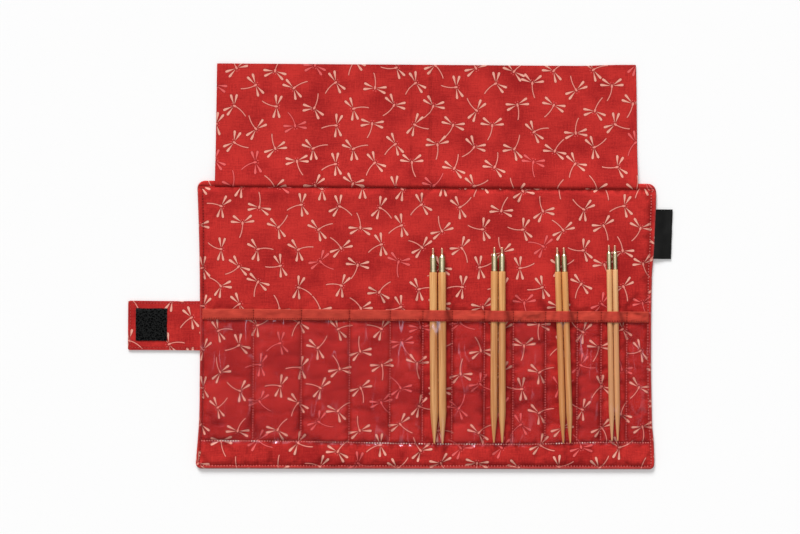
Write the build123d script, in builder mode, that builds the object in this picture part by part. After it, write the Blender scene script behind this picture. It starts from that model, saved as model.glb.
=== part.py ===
from build123d import *
from math import asin, atan2, cos, radians, sin, tan
import os

# A folding fabric case for knitting needle tips, lying open and flat on z = 0.
# +X runs across its width, from the closing strap to the side label.
# +Y runs up to the flap and +Z points up from the lining. All sizes are in millimetres.

# Padded panel, measured over its corners
panel_width = 296.2
panel_height = 185.7
waist_depth = 2.4
corner_radius = 5.0
hem_depth = 3.2
hem_height = 1.6

# Layers of the panel, from the table up
cover_thickness = 0.5
wadding_thickness = 2.1
lining_thickness = 0.4
edge_slope = 2.4

# Needles, from the thickest pair on the left to the thinnest on the right
needle_diameters = [5.0, 4.5, 4.0, 3.5]
pair_pockets = [5, 7, 9, 11]
pair_offsets = [0.3, -0.9, -0.35, -1.75]
lean_degrees = [0.65, 0.35, 2.25, 1.3]
pair_gaps = [0.68, 0.46, 0.3, 0.3]
fan_degrees = [-0.24, 0.2, 0.1, -0.05]
pair_lifts = [0.0, 0.0, 0.0, 1.9]
shaft_length = 110.3
taper_length = 20.0
tip_radius = 0.45
ferrule_length = 12.9
ferrule_share = 0.8
shoulder_slope = 3.4
stud_radius = 0.75
stud_length = 3.2

# Clear pockets, stitched down along the lines between them
pocket_shares = [32.4, 31.0, 31.0, 26.2, 21.1, 18.9, 20.8, 18.6, 20.8, 20.5, 15.4, 16.5, 13.4]
pocket_top = 103.2
pocket_stitch = 16.6
pocket_tail = 1.9
vinyl_thickness = 0.3
binding_width = 7.1
binding_thickness = 0.4
empty_bulge = 1.2
seam_land = 0.8
tip_clearance = 0.45

# Flap, two layers of cotton that come out of the slit behind the hem
flap_length = 79.0
flap_margin = 11.65
flap_inset = 1.3
flap_layer = 0.25
ridge_height = 4.6
slit_gap = 0.4

# Closing strap with its hook patch, and the side label
strap_reach = 44.1
strap_width = 32.0
strap_layer = 0.4
strap_middle = 93.0
patch_size = 20.0
patch_gap = 1.0
patch_thickness = 1.0
loop_length = 18.0
loop_margin = 2.4
loop_thickness = 0.3
label_reach = 11.3
label_height = 32.0
label_top = 17.7
label_thickness = 0.5
label_lift = 0.2

# Clearances
rest_gap = 0.05
cloth_gap = 0.1
fold_axis_depth = 0.2
closed_gap = 0.2
strap_joint_gap = 0.3

# Places that follow from the sizes
total_width = strap_reach + panel_width + label_reach
panel_left = strap_reach - total_width / 2
panel_right = panel_left + panel_width
flap_reach = flap_length - hem_depth
panel_bottom = -(panel_height + flap_reach) / 2
panel_top = panel_bottom + panel_height
panel_middle = panel_bottom + panel_height / 2
crease = panel_top - hem_depth
wadding_top = cover_thickness + wadding_thickness
lining_top = wadding_top + lining_thickness
seam_height = cover_thickness + lining_thickness
band_top = panel_bottom + pocket_top
band_bottom = band_top - binding_width
stitch_line = panel_bottom + pocket_stitch
needle_tip = stitch_line + tip_clearance
ferrule_base = needle_tip + shaft_length
sheet_stack = vinyl_thickness + binding_thickness

pocket_margin = waist_depth + edge_slope
pocket_scale = (panel_width - 2 * pocket_margin) / sum(pocket_shares)
seams = [panel_left + pocket_margin]
for share in pocket_shares:
    seams.append(seams[-1] + share * pocket_scale)


def needle_lean(pair, side):
    """Lean of one needle to the left of +Y, in degrees; side is -1 for the left one and 1 for the right."""
    return lean_degrees[pair] + side * fan_degrees[pair] / 2


def needle_middle(pair, side, height):
    """X of a needle's axis at a given Y."""
    pocket = pair_pockets[pair]
    pair_x = (seams[pocket] + seams[pocket + 1]) / 2 + pair_offsets[pair]
    start = pair_x + side * (needle_diameters[pair] + pair_gaps[pair]) / 2
    return start + (ferrule_base - height) * tan(radians(needle_lean(pair, side)))


# The two fold lines of the spine: the right one runs close beside the first pair of needles.
# The spine is as wide as the closed case is deep: needles, flap and clearances, twice over.
thickest = max(needle_diameters)
bulge_room = rest_gap + thickest + cloth_gap
flap_thickness = 2 * flap_layer
spine_width = 2 * (bulge_room + flap_thickness + fold_axis_depth) + closed_gap
fold_gap = fold_axis_depth + cloth_gap
pocket_cut = fold_axis_depth + sheet_stack + cloth_gap
first_edge = needle_middle(0, -1, band_top) - needle_diameters[0] / 2
right_fold = first_edge - cloth_gap - sheet_stack - pocket_cut
left_fold = right_fold - spine_width
fold_axis = lining_top - fold_axis_depth

# Flap hinge: half way between the open flap and the closed one, which lies just over the needles
flap_root = crease + slit_gap / 2
flap_rest = hem_height + cloth_gap
flap_axis = (flap_rest + flap_thickness + lining_top + bulge_room) / 2
flap_slope = asin(flap_rest / flap_length)
flap_left_edge = panel_left + flap_margin
flap_right_edge = panel_right - flap_margin
flap_end = panel_top + flap_reach
strip_lift = 2 * flap_axis - lining_top - flap_rest - ridge_height
flap_cut = fold_axis_depth + strip_lift + cloth_gap

# Strap joints: the riser climbs past the overhanging right half, and the tongue lies on top of it
strap_thickness = 2 * strap_layer
strap_y = panel_bottom + strap_middle
strap_pivot_x = panel_left + waist_depth - strap_joint_gap
strap_pivot_z = strap_thickness + cloth_gap
closed_top = 2 * fold_axis + spine_width
riser_rise = closed_top + patch_thickness - strap_pivot_z
closed_edge = left_fold + right_fold - (panel_right - waist_depth)
riser_run = strap_pivot_x - closed_edge + strap_joint_gap
riser_angle = atan2(closed_top - seam_height - strap_pivot_z, riser_run)
riser_length = riser_rise / sin(riser_angle)
tongue_pivot_x = strap_pivot_x - riser_length
strap_end = panel_left - strap_reach
loop_start = panel_right - waist_depth - loop_margin

panels = [
    ("left", panel_left, left_fold - fold_gap),
    ("spine", left_fold + fold_gap, right_fold - fold_gap),
    ("right", right_fold + fold_gap, panel_right),
]

os.makedirs("parts", exist_ok=True)


def save(piece, name):
    piece.part.label = name
    export_step(piece.part, f"parts/{name}.step")


def panel_outline(inset):
    """Outline of the whole open panel, with waisted sides and rounded corners."""
    left = panel_left + inset
    right = panel_right - inset
    top = panel_top - inset
    bottom = panel_bottom + inset
    with BuildSketch() as outline:
        with BuildLine():
            Line((left, top), (right, top))
            ThreePointArc((right, top), (right - waist_depth, panel_middle), (right, bottom))
            Line((right, bottom), (left, bottom))
            ThreePointArc((left, bottom), (left + waist_depth, panel_middle), (left, top))
        make_face()
        fillet(outline.vertices(), corner_radius - inset)
    return outline.sketch


def padded_block(inset, base, side_top, top):
    """A slab of the panel's outline whose upper edges slope down to its seam."""
    with BuildPart() as block:
        with BuildSketch(Plane.XY.offset(base)):
            add(panel_outline(inset))
        extrude(amount=top - base)
        upper = block.faces().sort_by(Axis.Z)[-1]
        chamfer(upper.edges(), length=edge_slope, length2=top - side_top, reference=upper)
    return block.part


def keep_between(left, right, bottom, top):
    """Cuts what is being built down to a stretch of X and of Y."""
    with Locations(((left + right) / 2, (bottom + top) / 2, 0)):
        Box(right - left, top - bottom, 4 * closed_top, mode=Mode.INTERSECT)


def make_wadding(name, left, right):
    """Wadding, sealed between the outer cover and the lining."""
    cavity_left = left if name == "left" else left + lining_thickness
    cavity_right = right if name == "right" else right - lining_thickness
    with BuildPart() as wadding:
        add(padded_block(cover_thickness, cover_thickness, cover_thickness + cloth_gap, wadding_top))
        keep_between(cavity_left, cavity_right, panel_bottom, crease - slit_gap / 2 - lining_thickness)
    return wadding


def make_lining(left, right, wadding):
    """Printed lining over the wadding, turned down at the slit and at the folds."""
    with BuildPart() as lining:
        add(padded_block(0, cover_thickness, seam_height, lining_top))
        keep_between(left, right, panel_bottom, crease - slit_gap / 2)
        add(wadding.part, mode=Mode.SUBTRACT)
    return lining


def make_cover(name, left, right):
    """Outer cover with the turned hem above the slit, and on the right the seat of the loop patch."""
    with BuildPart() as cover:
        with BuildSketch():
            add(panel_outline(0))
        extrude(amount=cover_thickness)
        with BuildSketch(Plane.XY.offset(cover_thickness)):
            add(panel_outline(0))
            with Locations((0, flap_root)):
                Rectangle(2 * panel_width, panel_height, align=(Align.CENTER, Align.MAX), mode=Mode.SUBTRACT)
        extrude(amount=hem_height - cover_thickness)
        keep_between(left, right, panel_bottom, panel_top)
        if name == "right":
            add(loop_patch.part, mode=Mode.SUBTRACT)
    return cover


def pocket_points(name, left, right):
    """Underside of the pocket sheet from left to right, as X and Z: flat at each seam, raised over each pocket."""
    points = [(left, lining_top)]
    for number, (seam_left, seam_right) in enumerate(zip(seams, seams[1:])):
        start = max(seam_left, left)
        end = min(seam_right, right)
        if end - start < 4 * seam_land or name == "spine":
            continue
        if number in pair_pockets:
            pair = pair_pockets.index(number)
            radius = needle_diameters[pair] / 2 + cloth_gap
            low = needle_middle(pair, -1, band_top) - radius
            high = needle_middle(pair, 1, needle_tip + taper_length) + radius
            rise = rest_gap + needle_diameters[pair] + cloth_gap
        else:
            low = start + (end - start) / 3
            high = end - (end - start) / 3
            rise = empty_bulge
        if start > seam_left and number in pair_pockets:
            points = [(left, lining_top + rise)]
        else:
            points.append((start + seam_land, lining_top))
            points.append((low, lining_top + rise))
        points.append((high, lining_top + rise))
        points.append((end - seam_land, lining_top))
    points.append((right, lining_top))
    return points


def sheet_outline(points, thickness):
    """Closed outline under the upper face of a sheet of one thickness that lies on the points."""
    left, left_height = points[0]
    right = points[-1][0]
    base = lining_top - sheet_stack
    wall = thickness if left_height > lining_top else 0
    with BuildSketch() as outline:
        with BuildLine():
            Polyline((left, base), *points, (right, base), close=True)
        make_face()
        if thickness:
            offset(amount=thickness, kind=Kind.INTERSECTION)
            with Locations((left - wall, lining_top)):
                Rectangle(right - left + wall, closed_top, align=Align.MIN, mode=Mode.INTERSECT)
    return outline.sketch


def lay_sheet(points, top, length, thickness, end_wall):
    """Draws a sheet over the points from one Y towards the bottom edge, closed by a wall at its lower end."""
    with BuildPart() as sheet:
        with BuildSketch(Plane.XZ.offset(-top)):
            add(sheet_outline(points, thickness))
        extrude(amount=length)
        with BuildSketch(Plane.XZ.offset(-top)):
            add(sheet_outline(points, 0))
        extrude(amount=length - end_wall, mode=Mode.SUBTRACT)
    return sheet.part


def make_vinyl(points):
    """Clear sheet, stitched to the lining between the pockets and along its lower edge."""
    top = band_top - binding_thickness
    left = points[0][0]
    right = points[-1][0]
    with BuildPart() as vinyl:
        add(lay_sheet(points, top, top - stitch_line + vinyl_thickness, vinyl_thickness, vinyl_thickness))
        with Locations((left, stitch_line, lining_top)):
            Box(right - left, pocket_tail, vinyl_thickness, align=(Align.MIN, Align.MAX, Align.MIN))
    return vinyl


def make_binding(points, vinyl):
    """Tape bound over the upper edge of the clear sheet."""
    with BuildPart() as binding:
        add(lay_sheet(points, band_top, binding_width, sheet_stack, 0))
        add(vinyl.part, mode=Mode.SUBTRACT)
    return binding


# Loop patch, set flush in the outer cover where the hook patch lands when the case is closed
with BuildPart() as loop_patch:
    with BuildSketch():
        with Locations((loop_start, strap_y)):
            Rectangle(loop_length, patch_size, align=(Align.MAX, Align.CENTER))
    extrude(amount=loop_thickness)
save(loop_patch, "loop_patch")

for name, left, right in panels:
    wadding = make_wadding(name, left, right)
    lining = make_lining(left, right, wadding)
    cover = make_cover(name, left, right)
    pocket_left = seams[0] if name == "left" else left - fold_gap + pocket_cut
    pocket_right = seams[-1] if name == "right" else right + fold_gap - pocket_cut
    if name == "right":
        pocket_left += sheet_stack
    points = pocket_points(name, pocket_left, pocket_right)
    vinyl = make_vinyl(points)
    binding = make_binding(points, vinyl)
    save(cover, f"{name}_outer_cover")
    save(wadding, f"{name}_wadding")
    save(lining, f"{name}_lining")
    save(vinyl, f"{name}_pocket_vinyl")
    save(binding, f"{name}_pocket_binding")

# Woven side label, sewn against the right edge
with BuildPart() as side_label:
    with BuildSketch(Plane.XY.offset(label_lift)):
        with Locations((panel_right + label_reach, panel_top - label_top)):
            Rectangle(2 * label_reach, label_height, align=Align.MAX)
        add(panel_outline(-rest_gap), mode=Mode.SUBTRACT)
    extrude(amount=label_thickness)
save(side_label, "side_label")


def make_flap_layer(left, right, insets, root, height, lift):
    """One cotton layer of the open flap, sloping from the hem down to the table."""
    slope = Plane(origin=(0, root, height), x_dir=(1, 0, 0), z_dir=(0, sin(flap_slope), cos(flap_slope)))
    reach = (flap_end - root) / cos(flap_slope)
    end_left = left + insets[0]
    end_right = right - insets[1]
    with BuildPart() as layer:
        with BuildSketch(slope.offset(lift)):
            with BuildLine():
                Polyline((left, 0), (right, 0), (end_right, reach), (end_left, reach), close=True)
            make_face()
        extrude(amount=flap_layer)
    return layer


def make_flap(name, left, right, insets):
    """Back and face of one side of the flap, which lies over the hem and slopes to the table."""
    save(make_flap_layer(left, right, insets, flap_root, flap_rest, 0), f"flap_{name}_back")
    save(make_flap_layer(left, right, insets, flap_root, flap_rest, flap_layer), f"flap_{name}_face")


def make_flap_strip(left, right):
    """The flap's strip along the spine, raised by its fold and rooted in the slit."""
    root = crease - flap_layer / 2
    height = flap_rest + ridge_height
    strip_back = make_flap_layer(left, right, (0, 0), root, height, 0)
    with BuildPart() as rooted_back:
        add(strip_back.part)
        with Locations((left, root, flap_rest)):
            Box(right - left, flap_layer, ridge_height + flap_layer / 2, align=Align.MIN)
    save(rooted_back, "flap_spine_back")
    save(make_flap_layer(left, right, (0, 0), root, height, flap_layer), "flap_spine_face")


make_flap("left", flap_left_edge, left_fold - flap_cut, (flap_inset, 0))
make_flap_strip(left_fold + fold_gap, right_fold - fold_gap)
make_flap("right", right_fold + flap_cut, flap_right_edge, (0, flap_inset))


def strap_strip(start, end, base, thickness, width):
    """A flat strip of the strap between two distances along X."""
    with BuildPart() as strip:
        with BuildSketch(Plane.XY.offset(base)):
            with Locations(((start + end) / 2, strap_y)):
                Rectangle(start - end, width)
        extrude(amount=thickness)
    return strip


strap_parts = [
    ("root", strap_pivot_x - strap_joint_gap, tongue_pivot_x + strap_joint_gap),
    ("tongue", tongue_pivot_x - strap_joint_gap, strap_end),
]
for name, start, end in strap_parts:
    save(strap_strip(start, end, 0, strap_layer, strap_width), f"strap_{name}_back")
    save(strap_strip(start, end, strap_layer, strap_layer, strap_width), f"strap_{name}_face")
patch_start = tongue_pivot_x - patch_gap
hook_patch = strap_strip(patch_start, patch_start - patch_size, strap_thickness, patch_thickness, patch_size)
save(hook_patch, "hook_patch")


def needle_plane(pair, side):
    """Plane whose origin is the needle's point and whose local Y runs up its axis."""
    lean = radians(needle_lean(pair, side))
    height = lining_top + rest_gap + needle_diameters[pair] / 2
    tip = needle_tip + pair_lifts[pair]
    place = (needle_middle(pair, side, needle_tip), tip, height)
    return Plane(origin=place, x_dir=(cos(lean), sin(lean), 0), z_dir=(0, 0, 1))


def turned(plane, profile):
    """A solid turned about the plane's local Y from a closed profile beside it."""
    with BuildPart() as piece:
        with BuildSketch(plane):
            add(profile)
        revolve(axis=Axis(plane.origin, plane.y_dir))
    return piece


def straight_profile(*points):
    """A closed profile of straight sides, each point a radius and a height up the needle."""
    with BuildSketch() as profile:
        with BuildLine():
            Polyline(*points, close=True)
        make_face()
    return profile.sketch


def make_needle(pair, side, name):
    """Bamboo shaft with its metal ferrule and threaded stud."""
    plane = needle_plane(pair, side)
    radius = needle_diameters[pair] / 2
    ferrule_radius = ferrule_share * radius
    ferrule_top = shaft_length + ferrule_length
    shoulder_base = ferrule_top - shoulder_slope * (ferrule_radius - stud_radius)
    stud_top = ferrule_top + stud_length
    shaft_profile = straight_profile(
        (0, 0),
        (tip_radius, 0),
        (radius, taper_length),
        (radius, shaft_length),
        (0, shaft_length),
    )
    ferrule_profile = straight_profile(
        (0, shaft_length),
        (ferrule_radius, shaft_length),
        (ferrule_radius, shoulder_base),
        (stud_radius, ferrule_top),
        (0, ferrule_top),
    )
    stud_profile = straight_profile(
        (0, ferrule_top),
        (stud_radius, ferrule_top),
        (stud_radius, stud_top),
        (0, stud_top),
    )
    save(turned(plane, shaft_profile), f"{name}_shaft")
    save(turned(plane, ferrule_profile), f"{name}_ferrule")
    save(turned(plane, stud_profile), f"{name}_stud")


for pair in range(len(needle_diameters)):
    make_needle(pair, -1, f"needle_{pair + 1}_left")
    make_needle(pair, 1, f"needle_{pair + 1}_right")
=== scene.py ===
import math
import random

import bmesh
import bpy
from mathutils import Matrix, Vector, noise


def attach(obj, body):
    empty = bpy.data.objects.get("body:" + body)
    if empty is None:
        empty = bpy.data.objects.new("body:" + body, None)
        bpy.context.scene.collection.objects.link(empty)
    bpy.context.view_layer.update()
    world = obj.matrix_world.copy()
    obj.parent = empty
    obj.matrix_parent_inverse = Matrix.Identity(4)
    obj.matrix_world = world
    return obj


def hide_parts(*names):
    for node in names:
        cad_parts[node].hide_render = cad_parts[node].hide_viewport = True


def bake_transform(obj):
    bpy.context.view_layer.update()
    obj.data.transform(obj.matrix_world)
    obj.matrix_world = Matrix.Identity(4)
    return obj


# Needle tip case, lying open. Sizes are in millimetres and become metres where a mesh is made.
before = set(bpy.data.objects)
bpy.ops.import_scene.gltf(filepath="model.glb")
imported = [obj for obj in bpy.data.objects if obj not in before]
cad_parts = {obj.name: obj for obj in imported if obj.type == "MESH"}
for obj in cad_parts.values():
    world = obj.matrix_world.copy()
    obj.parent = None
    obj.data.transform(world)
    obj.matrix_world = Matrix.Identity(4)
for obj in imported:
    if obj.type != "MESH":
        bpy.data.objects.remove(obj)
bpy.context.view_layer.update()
print("frame loaded,", len(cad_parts), "nodes")

mm = 0.001
metre = 1000              # in millimetres

case = {
    "left": -131.7, "right": 164.5, "top": 54.95, "bottom": -130.75,
    "waist": 2.4,             # how far the long sides curve in
    "labelSwell": 0.95, "footSwell": 0.7,         # the right side stands out by the label and the foot
    "pocketPull": 1.0, "bandPull": 0.3,           # the left side is pulled in at the pockets
    "corner": 5.4,            # corner radii: beside the flap, and at the bottom
    "leftCorner": 4.2, "rightCorner": 2.9,
    "bottomLean": 0.0054,     # the bottom edge rises this much per mm to the right
    "crease": 51.75,          # where the flap comes out
    "liningTop": 3.0,
    "foldAxis": 2.8, "leftFold": 5.83, "rightFold": 17.73,
    "foldReach": 2.4,         # the cloth bends this far to each side of a fold
    "seams": [-126.9, -94.5, -63.5, -32.5, -6.3, 14.8, 33.7, 54.5, 73.1, 93.9, 114.4, 129.8, 146.3, 159.7],
    "bandTop": -27.55, "bandBottom": -34.65,
    "stitchLine": -114.15,
    "lineLift": 0.3, "lineLeft": 1.1, "lineRight": 1.7,         # the line rises towards both ends
    "sideStitch": 2.2, "topSideStitch": 3.3, "bottomStitch": 2.0,     # topstitch, inside the edge
    "stillLeft": -112.0, "stillRight": 147.0,     # between these the weave stays straight
}
middle = (case["leftFold"] + case["rightFold"]) / 2
centreY = (case["top"] + case["bottom"]) / 2
halfY = (case["top"] - case["bottom"]) / 2
innerSeams = case["seams"][1:-1]
lastSeam = len(case["seams"]) - 1

# foot of each needle's axis, its lean to the left in degrees, and its diameter
needles = {
    "needle_1_left": (22.59, -113.5, 0.77, 5.0),
    "needle_1_right": (27.81, -113.5, 0.53, 5.0),
    "needle_2_left": (60.9, -112.6, 0.25, 4.5),
    "needle_2_right": (66.25, -112.6, 0.45, 4.5),
    "needle_3_left": (105.59, -112.5, 2.2, 4.0),
    "needle_3_right": (110.08, -112.5, 2.3, 4.0),
    "needle_4_left": (136.95, -110.9, 1.325, 3.5),
    "needle_4_right": (140.66, -110.9, 1.275, 3.5),
}
pairs = [("needle_%d_left" % n, "needle_%d_right" % n) for n in (1, 2, 3, 4)]
needleSizes = {
    "tip": 0.45, "taper": 20.0, "shaft": 110.3, "restHeight": 3.05,
    "ferrule": 11.5, "ferruleShare": 0.83,        # its radius is this share of the shaft's
    "neck": 0.98, "shoulder": 1.5,                # radius at the stud, and length for each mm of narrowing
    "groove": 0.07, "fineGroove": 0.05,
    "stud": 4.3, "studRadius": 0.86, "thread": 0.36,
}


def smooth(low, high, value):
    t = min(max((value - low) / (high - low), 0.0), 1.0)
    return t * t * (3 - 2 * t)


def hill(value, width):
    return math.exp(-(value / width) ** 2)


def rolled(depth, roll):
    # 0 at an edge and 1 inside its roll, round as a quarter circle
    return math.sqrt(max(0.0, 1 - (1 - min(max(depth, 0) / roll, 1)) ** 2))


def wave(x, y, size, seed=0.0):
    return noise.noise(Vector((x / size, y / size, seed)))


def sideEdge(y, right):
    bow = case["waist"] * (1 - ((y - centreY) / halfY) ** 2)
    if right:
        beside = case["labelSwell"] * smooth(-4, 14, y) * smooth(60, 40, y)
        foot = case["footSwell"] * smooth(-100, -112, y) * smooth(-132, -122, y)
        return case["right"] - bow + beside + foot
    return case["left"] + bow + case["pocketPull"] * hill(y + 98, 24) + case["bandPull"] * hill(y + 60, 20)


def bottomEdge(x):
    return case["bottom"] + case["bottomLean"] * (x + 100)


def lineY(x):             # the seam under the pockets wanders a little
    rise = case["lineLeft"] * smooth(30, -90, x)
    return case["stitchLine"] + case["lineLift"] + rise + case["lineRight"] * smooth(70, 135, x)


def sideDepth(x, y):
    return min(x - sideEdge(y, False), sideEdge(y, True) - x)


def cornerSize(x, y):
    if y > centreY:
        return case["corner"]
    return case["leftCorner"] if x < middle else case["rightCorner"]


def insideCorner(side, end, radius):
    # how far a point lies inside two edges that meet in a round corner
    if side < radius and end < radius:
        return radius - math.hypot(radius - side, radius - end)
    return min(side, end)


def rounding(side, end, radius):
    # how far a point of a square corner moves in, across and along, to make it round
    if side >= radius or end >= radius:
        return 0.0, 0.0
    u, v = 1 - side / radius, 1 - end / radius
    return (u - u * math.sqrt(1 - v * v / 2)) * radius, (v - v * math.sqrt(1 - u * u / 2)) * radius


def edgeDepth(x, y):      # how far a point lies inside the panel's outline
    return insideCorner(sideDepth(x, y), min(case["top"] - y, y - bottomEdge(x)), cornerSize(x, y))


def sideInset(y):         # the side topstitch stands further in near the flap
    return case["sideStitch"] + (case["topSideStitch"] - case["sideStitch"]) * smooth(-25, 45, y)


def seamPlace(index, y):
    # the outer two seams are the border's own topstitch
    if index == 0:
        return sideEdge(y, False) + sideInset(y)
    if index == lastSeam:
        return sideEdge(y, True) - sideInset(y)
    return case["seams"][index]


def seamGap(x):
    return min(abs(x - seam) for seam in innerSeams)


def halfSpan(half, low, high, gap=0.0):
    return (low, middle - gap) if half == "left" else (middle + gap, high)


def spaced(start, end, step):
    parts = max(1, math.ceil(abs(end - start) / step))
    return [start + (end - start) * k / parts for k in range(parts + 1)]


def filledIn(lines, step):
    # adds even lines wherever two lie further apart than a step
    out = [lines[0]]
    for place in lines[1:]:
        start = out[-1]
        parts = max(1, math.ceil((place - start) / step))
        out.extend(start + (place - start) * (k + 1) / parts for k in range(parts))
    return out


edgeReach = (0.12, 0.35, 0.7, 1.2, 1.7, 2.1, 2.5, 3.0, 3.6, 4.4, 5.4)


def gridLines(low, high, step, fine=(), edges=(False, False)):
    # places of a sheet's threads: an even step, closer beside each fine place and towards a rolled edge
    lines = {low, high}
    for place in fine:
        for reach in (0, 0.35, 0.8, 1.4, 2.2):
            lines.update((place - reach, place + reach))
    for place, side, isRolled in ((low, 1, edges[0]), (high, -1, edges[1])):
        if isRolled:
            lines.update(place + side * reach for reach in edgeReach)
    lines = sorted(p for p in lines if low <= p <= high)
    kept = [lines[0]]
    for place in lines[1:]:
        if place - kept[-1] > 0.11:
            kept.append(place)
    kept[-1] = high
    return filledIn(kept, step)


def clothGrid(xs, ys):
    # a bmesh grid whose lines lie at the given places; returns it with each vertex's flat place
    bm = bmesh.new()
    bmesh.ops.create_grid(bm, x_segments=len(xs) - 1, y_segments=len(ys) - 1, size=0.5)
    flat = {}
    for vert in bm.verts:
        i, j = round((vert.co.x + 0.5) * (len(xs) - 1)), round((vert.co.y + 0.5) * (len(ys) - 1))
        flat[vert] = (xs[i], ys[j])
    return bm, flat


def areaGrid(area, stepX, stepY, rolledSides=(True, True)):
    # a grid over a small rectangle, fine towards its edges
    return clothGrid(gridLines(area["left"], area["right"], stepX, (), rolledSides),
                     gridLines(area["low"], area["high"], stepY, (), (True, True)))


def areaDepth(area, x, y):
    return min(x - area["left"], area["right"] - x, y - area["low"], area["high"] - y)


def clothShell(xs, ys):
    # a grid with a second one under it, joined along the edge; also returns the lower vertices
    bm, flat = clothGrid(xs, ys)
    places = {(round(v.co.x, 5), round(v.co.y, 5)): place for v, place in flat.items()}
    made = bmesh.ops.extrude_face_region(bm, geom=bm.faces[:])
    under = {v for v in made["geom"] if isinstance(v, bmesh.types.BMVert)}
    for vert in under:
        flat[vert] = places[(round(vert.co.x, 5), round(vert.co.y, 5))]
    return bm, flat, under


def markPoints(piece, name, values):
    # the painted-shade mark is how deep a vertex lies in a seam, crease or pucker, and so how much painted
    # shade its colour gets; "rim" is how far it takes the paler edge colour; both run from 0 to 1
    attribute = piece.data.attributes.new(name, "FLOAT", "POINT")
    attribute.data.foreach_set("value", [min(max(v, 0.0), 1.0) for v in values])


def mapCloth(bm, flat, shift=(0.0, 0.0)):
    # UV map in metres, so that weave and print keep their size
    layer = bm.loops.layers.uv.new("cloth")
    for face in bm.faces:
        for loop in face.loops:
            x, y = flat[loop.vert]
            loop[layer].uv = ((x + shift[0]) * mm, (y + shift[1]) * mm)


def makePiece(name, bm, material):
    mesh = bpy.data.meshes.new(name)
    bm.to_mesh(mesh)
    bm.free()
    for polygon in mesh.polygons:
        polygon.use_smooth = True
    mesh.materials.append(material)
    piece = bpy.data.objects.new(name, mesh)
    bpy.context.scene.collection.objects.link(piece)
    return piece


def thicken(piece, thickness):
    # the sheet keeps its underside and grows upwards
    solid = piece.modifiers.new("Thickness", "SOLIDIFY")
    solid.thickness = thickness * mm
    solid.offset = 1.0
    solid.use_even_offset = False


def bendBetween(piece, bodies, start, end, height=0.0):
    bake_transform(piece)


def bendAcross(piece, half):
    # works out each half's fold at its own side of the spine and passes it on, but bendBetween only bakes the
    # piece in place; the cloth does not bend
    reach = case["foldReach"]
    place = case["leftFold" if half == "left" else "rightFold"]
    bodies = ("left_panel", "spine") if half == "left" else ("spine", "right_panel")
    bendBetween(piece, bodies, place - reach, place + reach, case["foldAxis"])


def srgb(red, green, blue):
    return tuple(c / 12.92 if c <= 0.04045 else ((c + 0.055) / 1.055) ** 2.4
                 for c in (red / 255, green / 255, blue / 255)) + (1.0,)


class Wire:               # a socket that can be used in sums
    def __init__(self, finish, socket):
        self.finish = finish
        self.socket = socket

    def out(self, key):
        return Wire(self.finish, self.socket.node.outputs[key])

    def math(self, operation, *values):
        return self.finish.node("ShaderNodeMath", {"operation": operation}, dict(enumerate(values)))

    def __add__(self, other):
        return self.math("ADD", self, other)

    def __radd__(self, other):
        return self.math("ADD", other, self)

    def __sub__(self, other):
        return self.math("SUBTRACT", self, other)

    def __rsub__(self, other):
        return self.math("SUBTRACT", other, self)

    def __mul__(self, other):
        return self.math("MULTIPLY", self, other)

    def __rmul__(self, other):
        return self.math("MULTIPLY", other, self)

    def __truediv__(self, other):
        return self.math("DIVIDE", self, other)

    def __rtruediv__(self, other):
        return self.math("DIVIDE", other, self)

    def __pow__(self, other):
        return self.math("POWER", self, other)

    def __abs__(self):
        return self.math("ABSOLUTE", self)

    def __neg__(self):
        return self.math("MULTIPLY", self, -1.0)

    def sine(self):
        return self.math("SINE", self)

    def cosine(self):
        return self.math("COSINE", self)

    def root(self):
        return self.math("SQRT", self)

    def over(self, other):
        return self.math("GREATER_THAN", self, other)

    def least(self, other):
        return self.math("MINIMUM", self, other)

    def most(self, other):
        return self.math("MAXIMUM", self, other)


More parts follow.
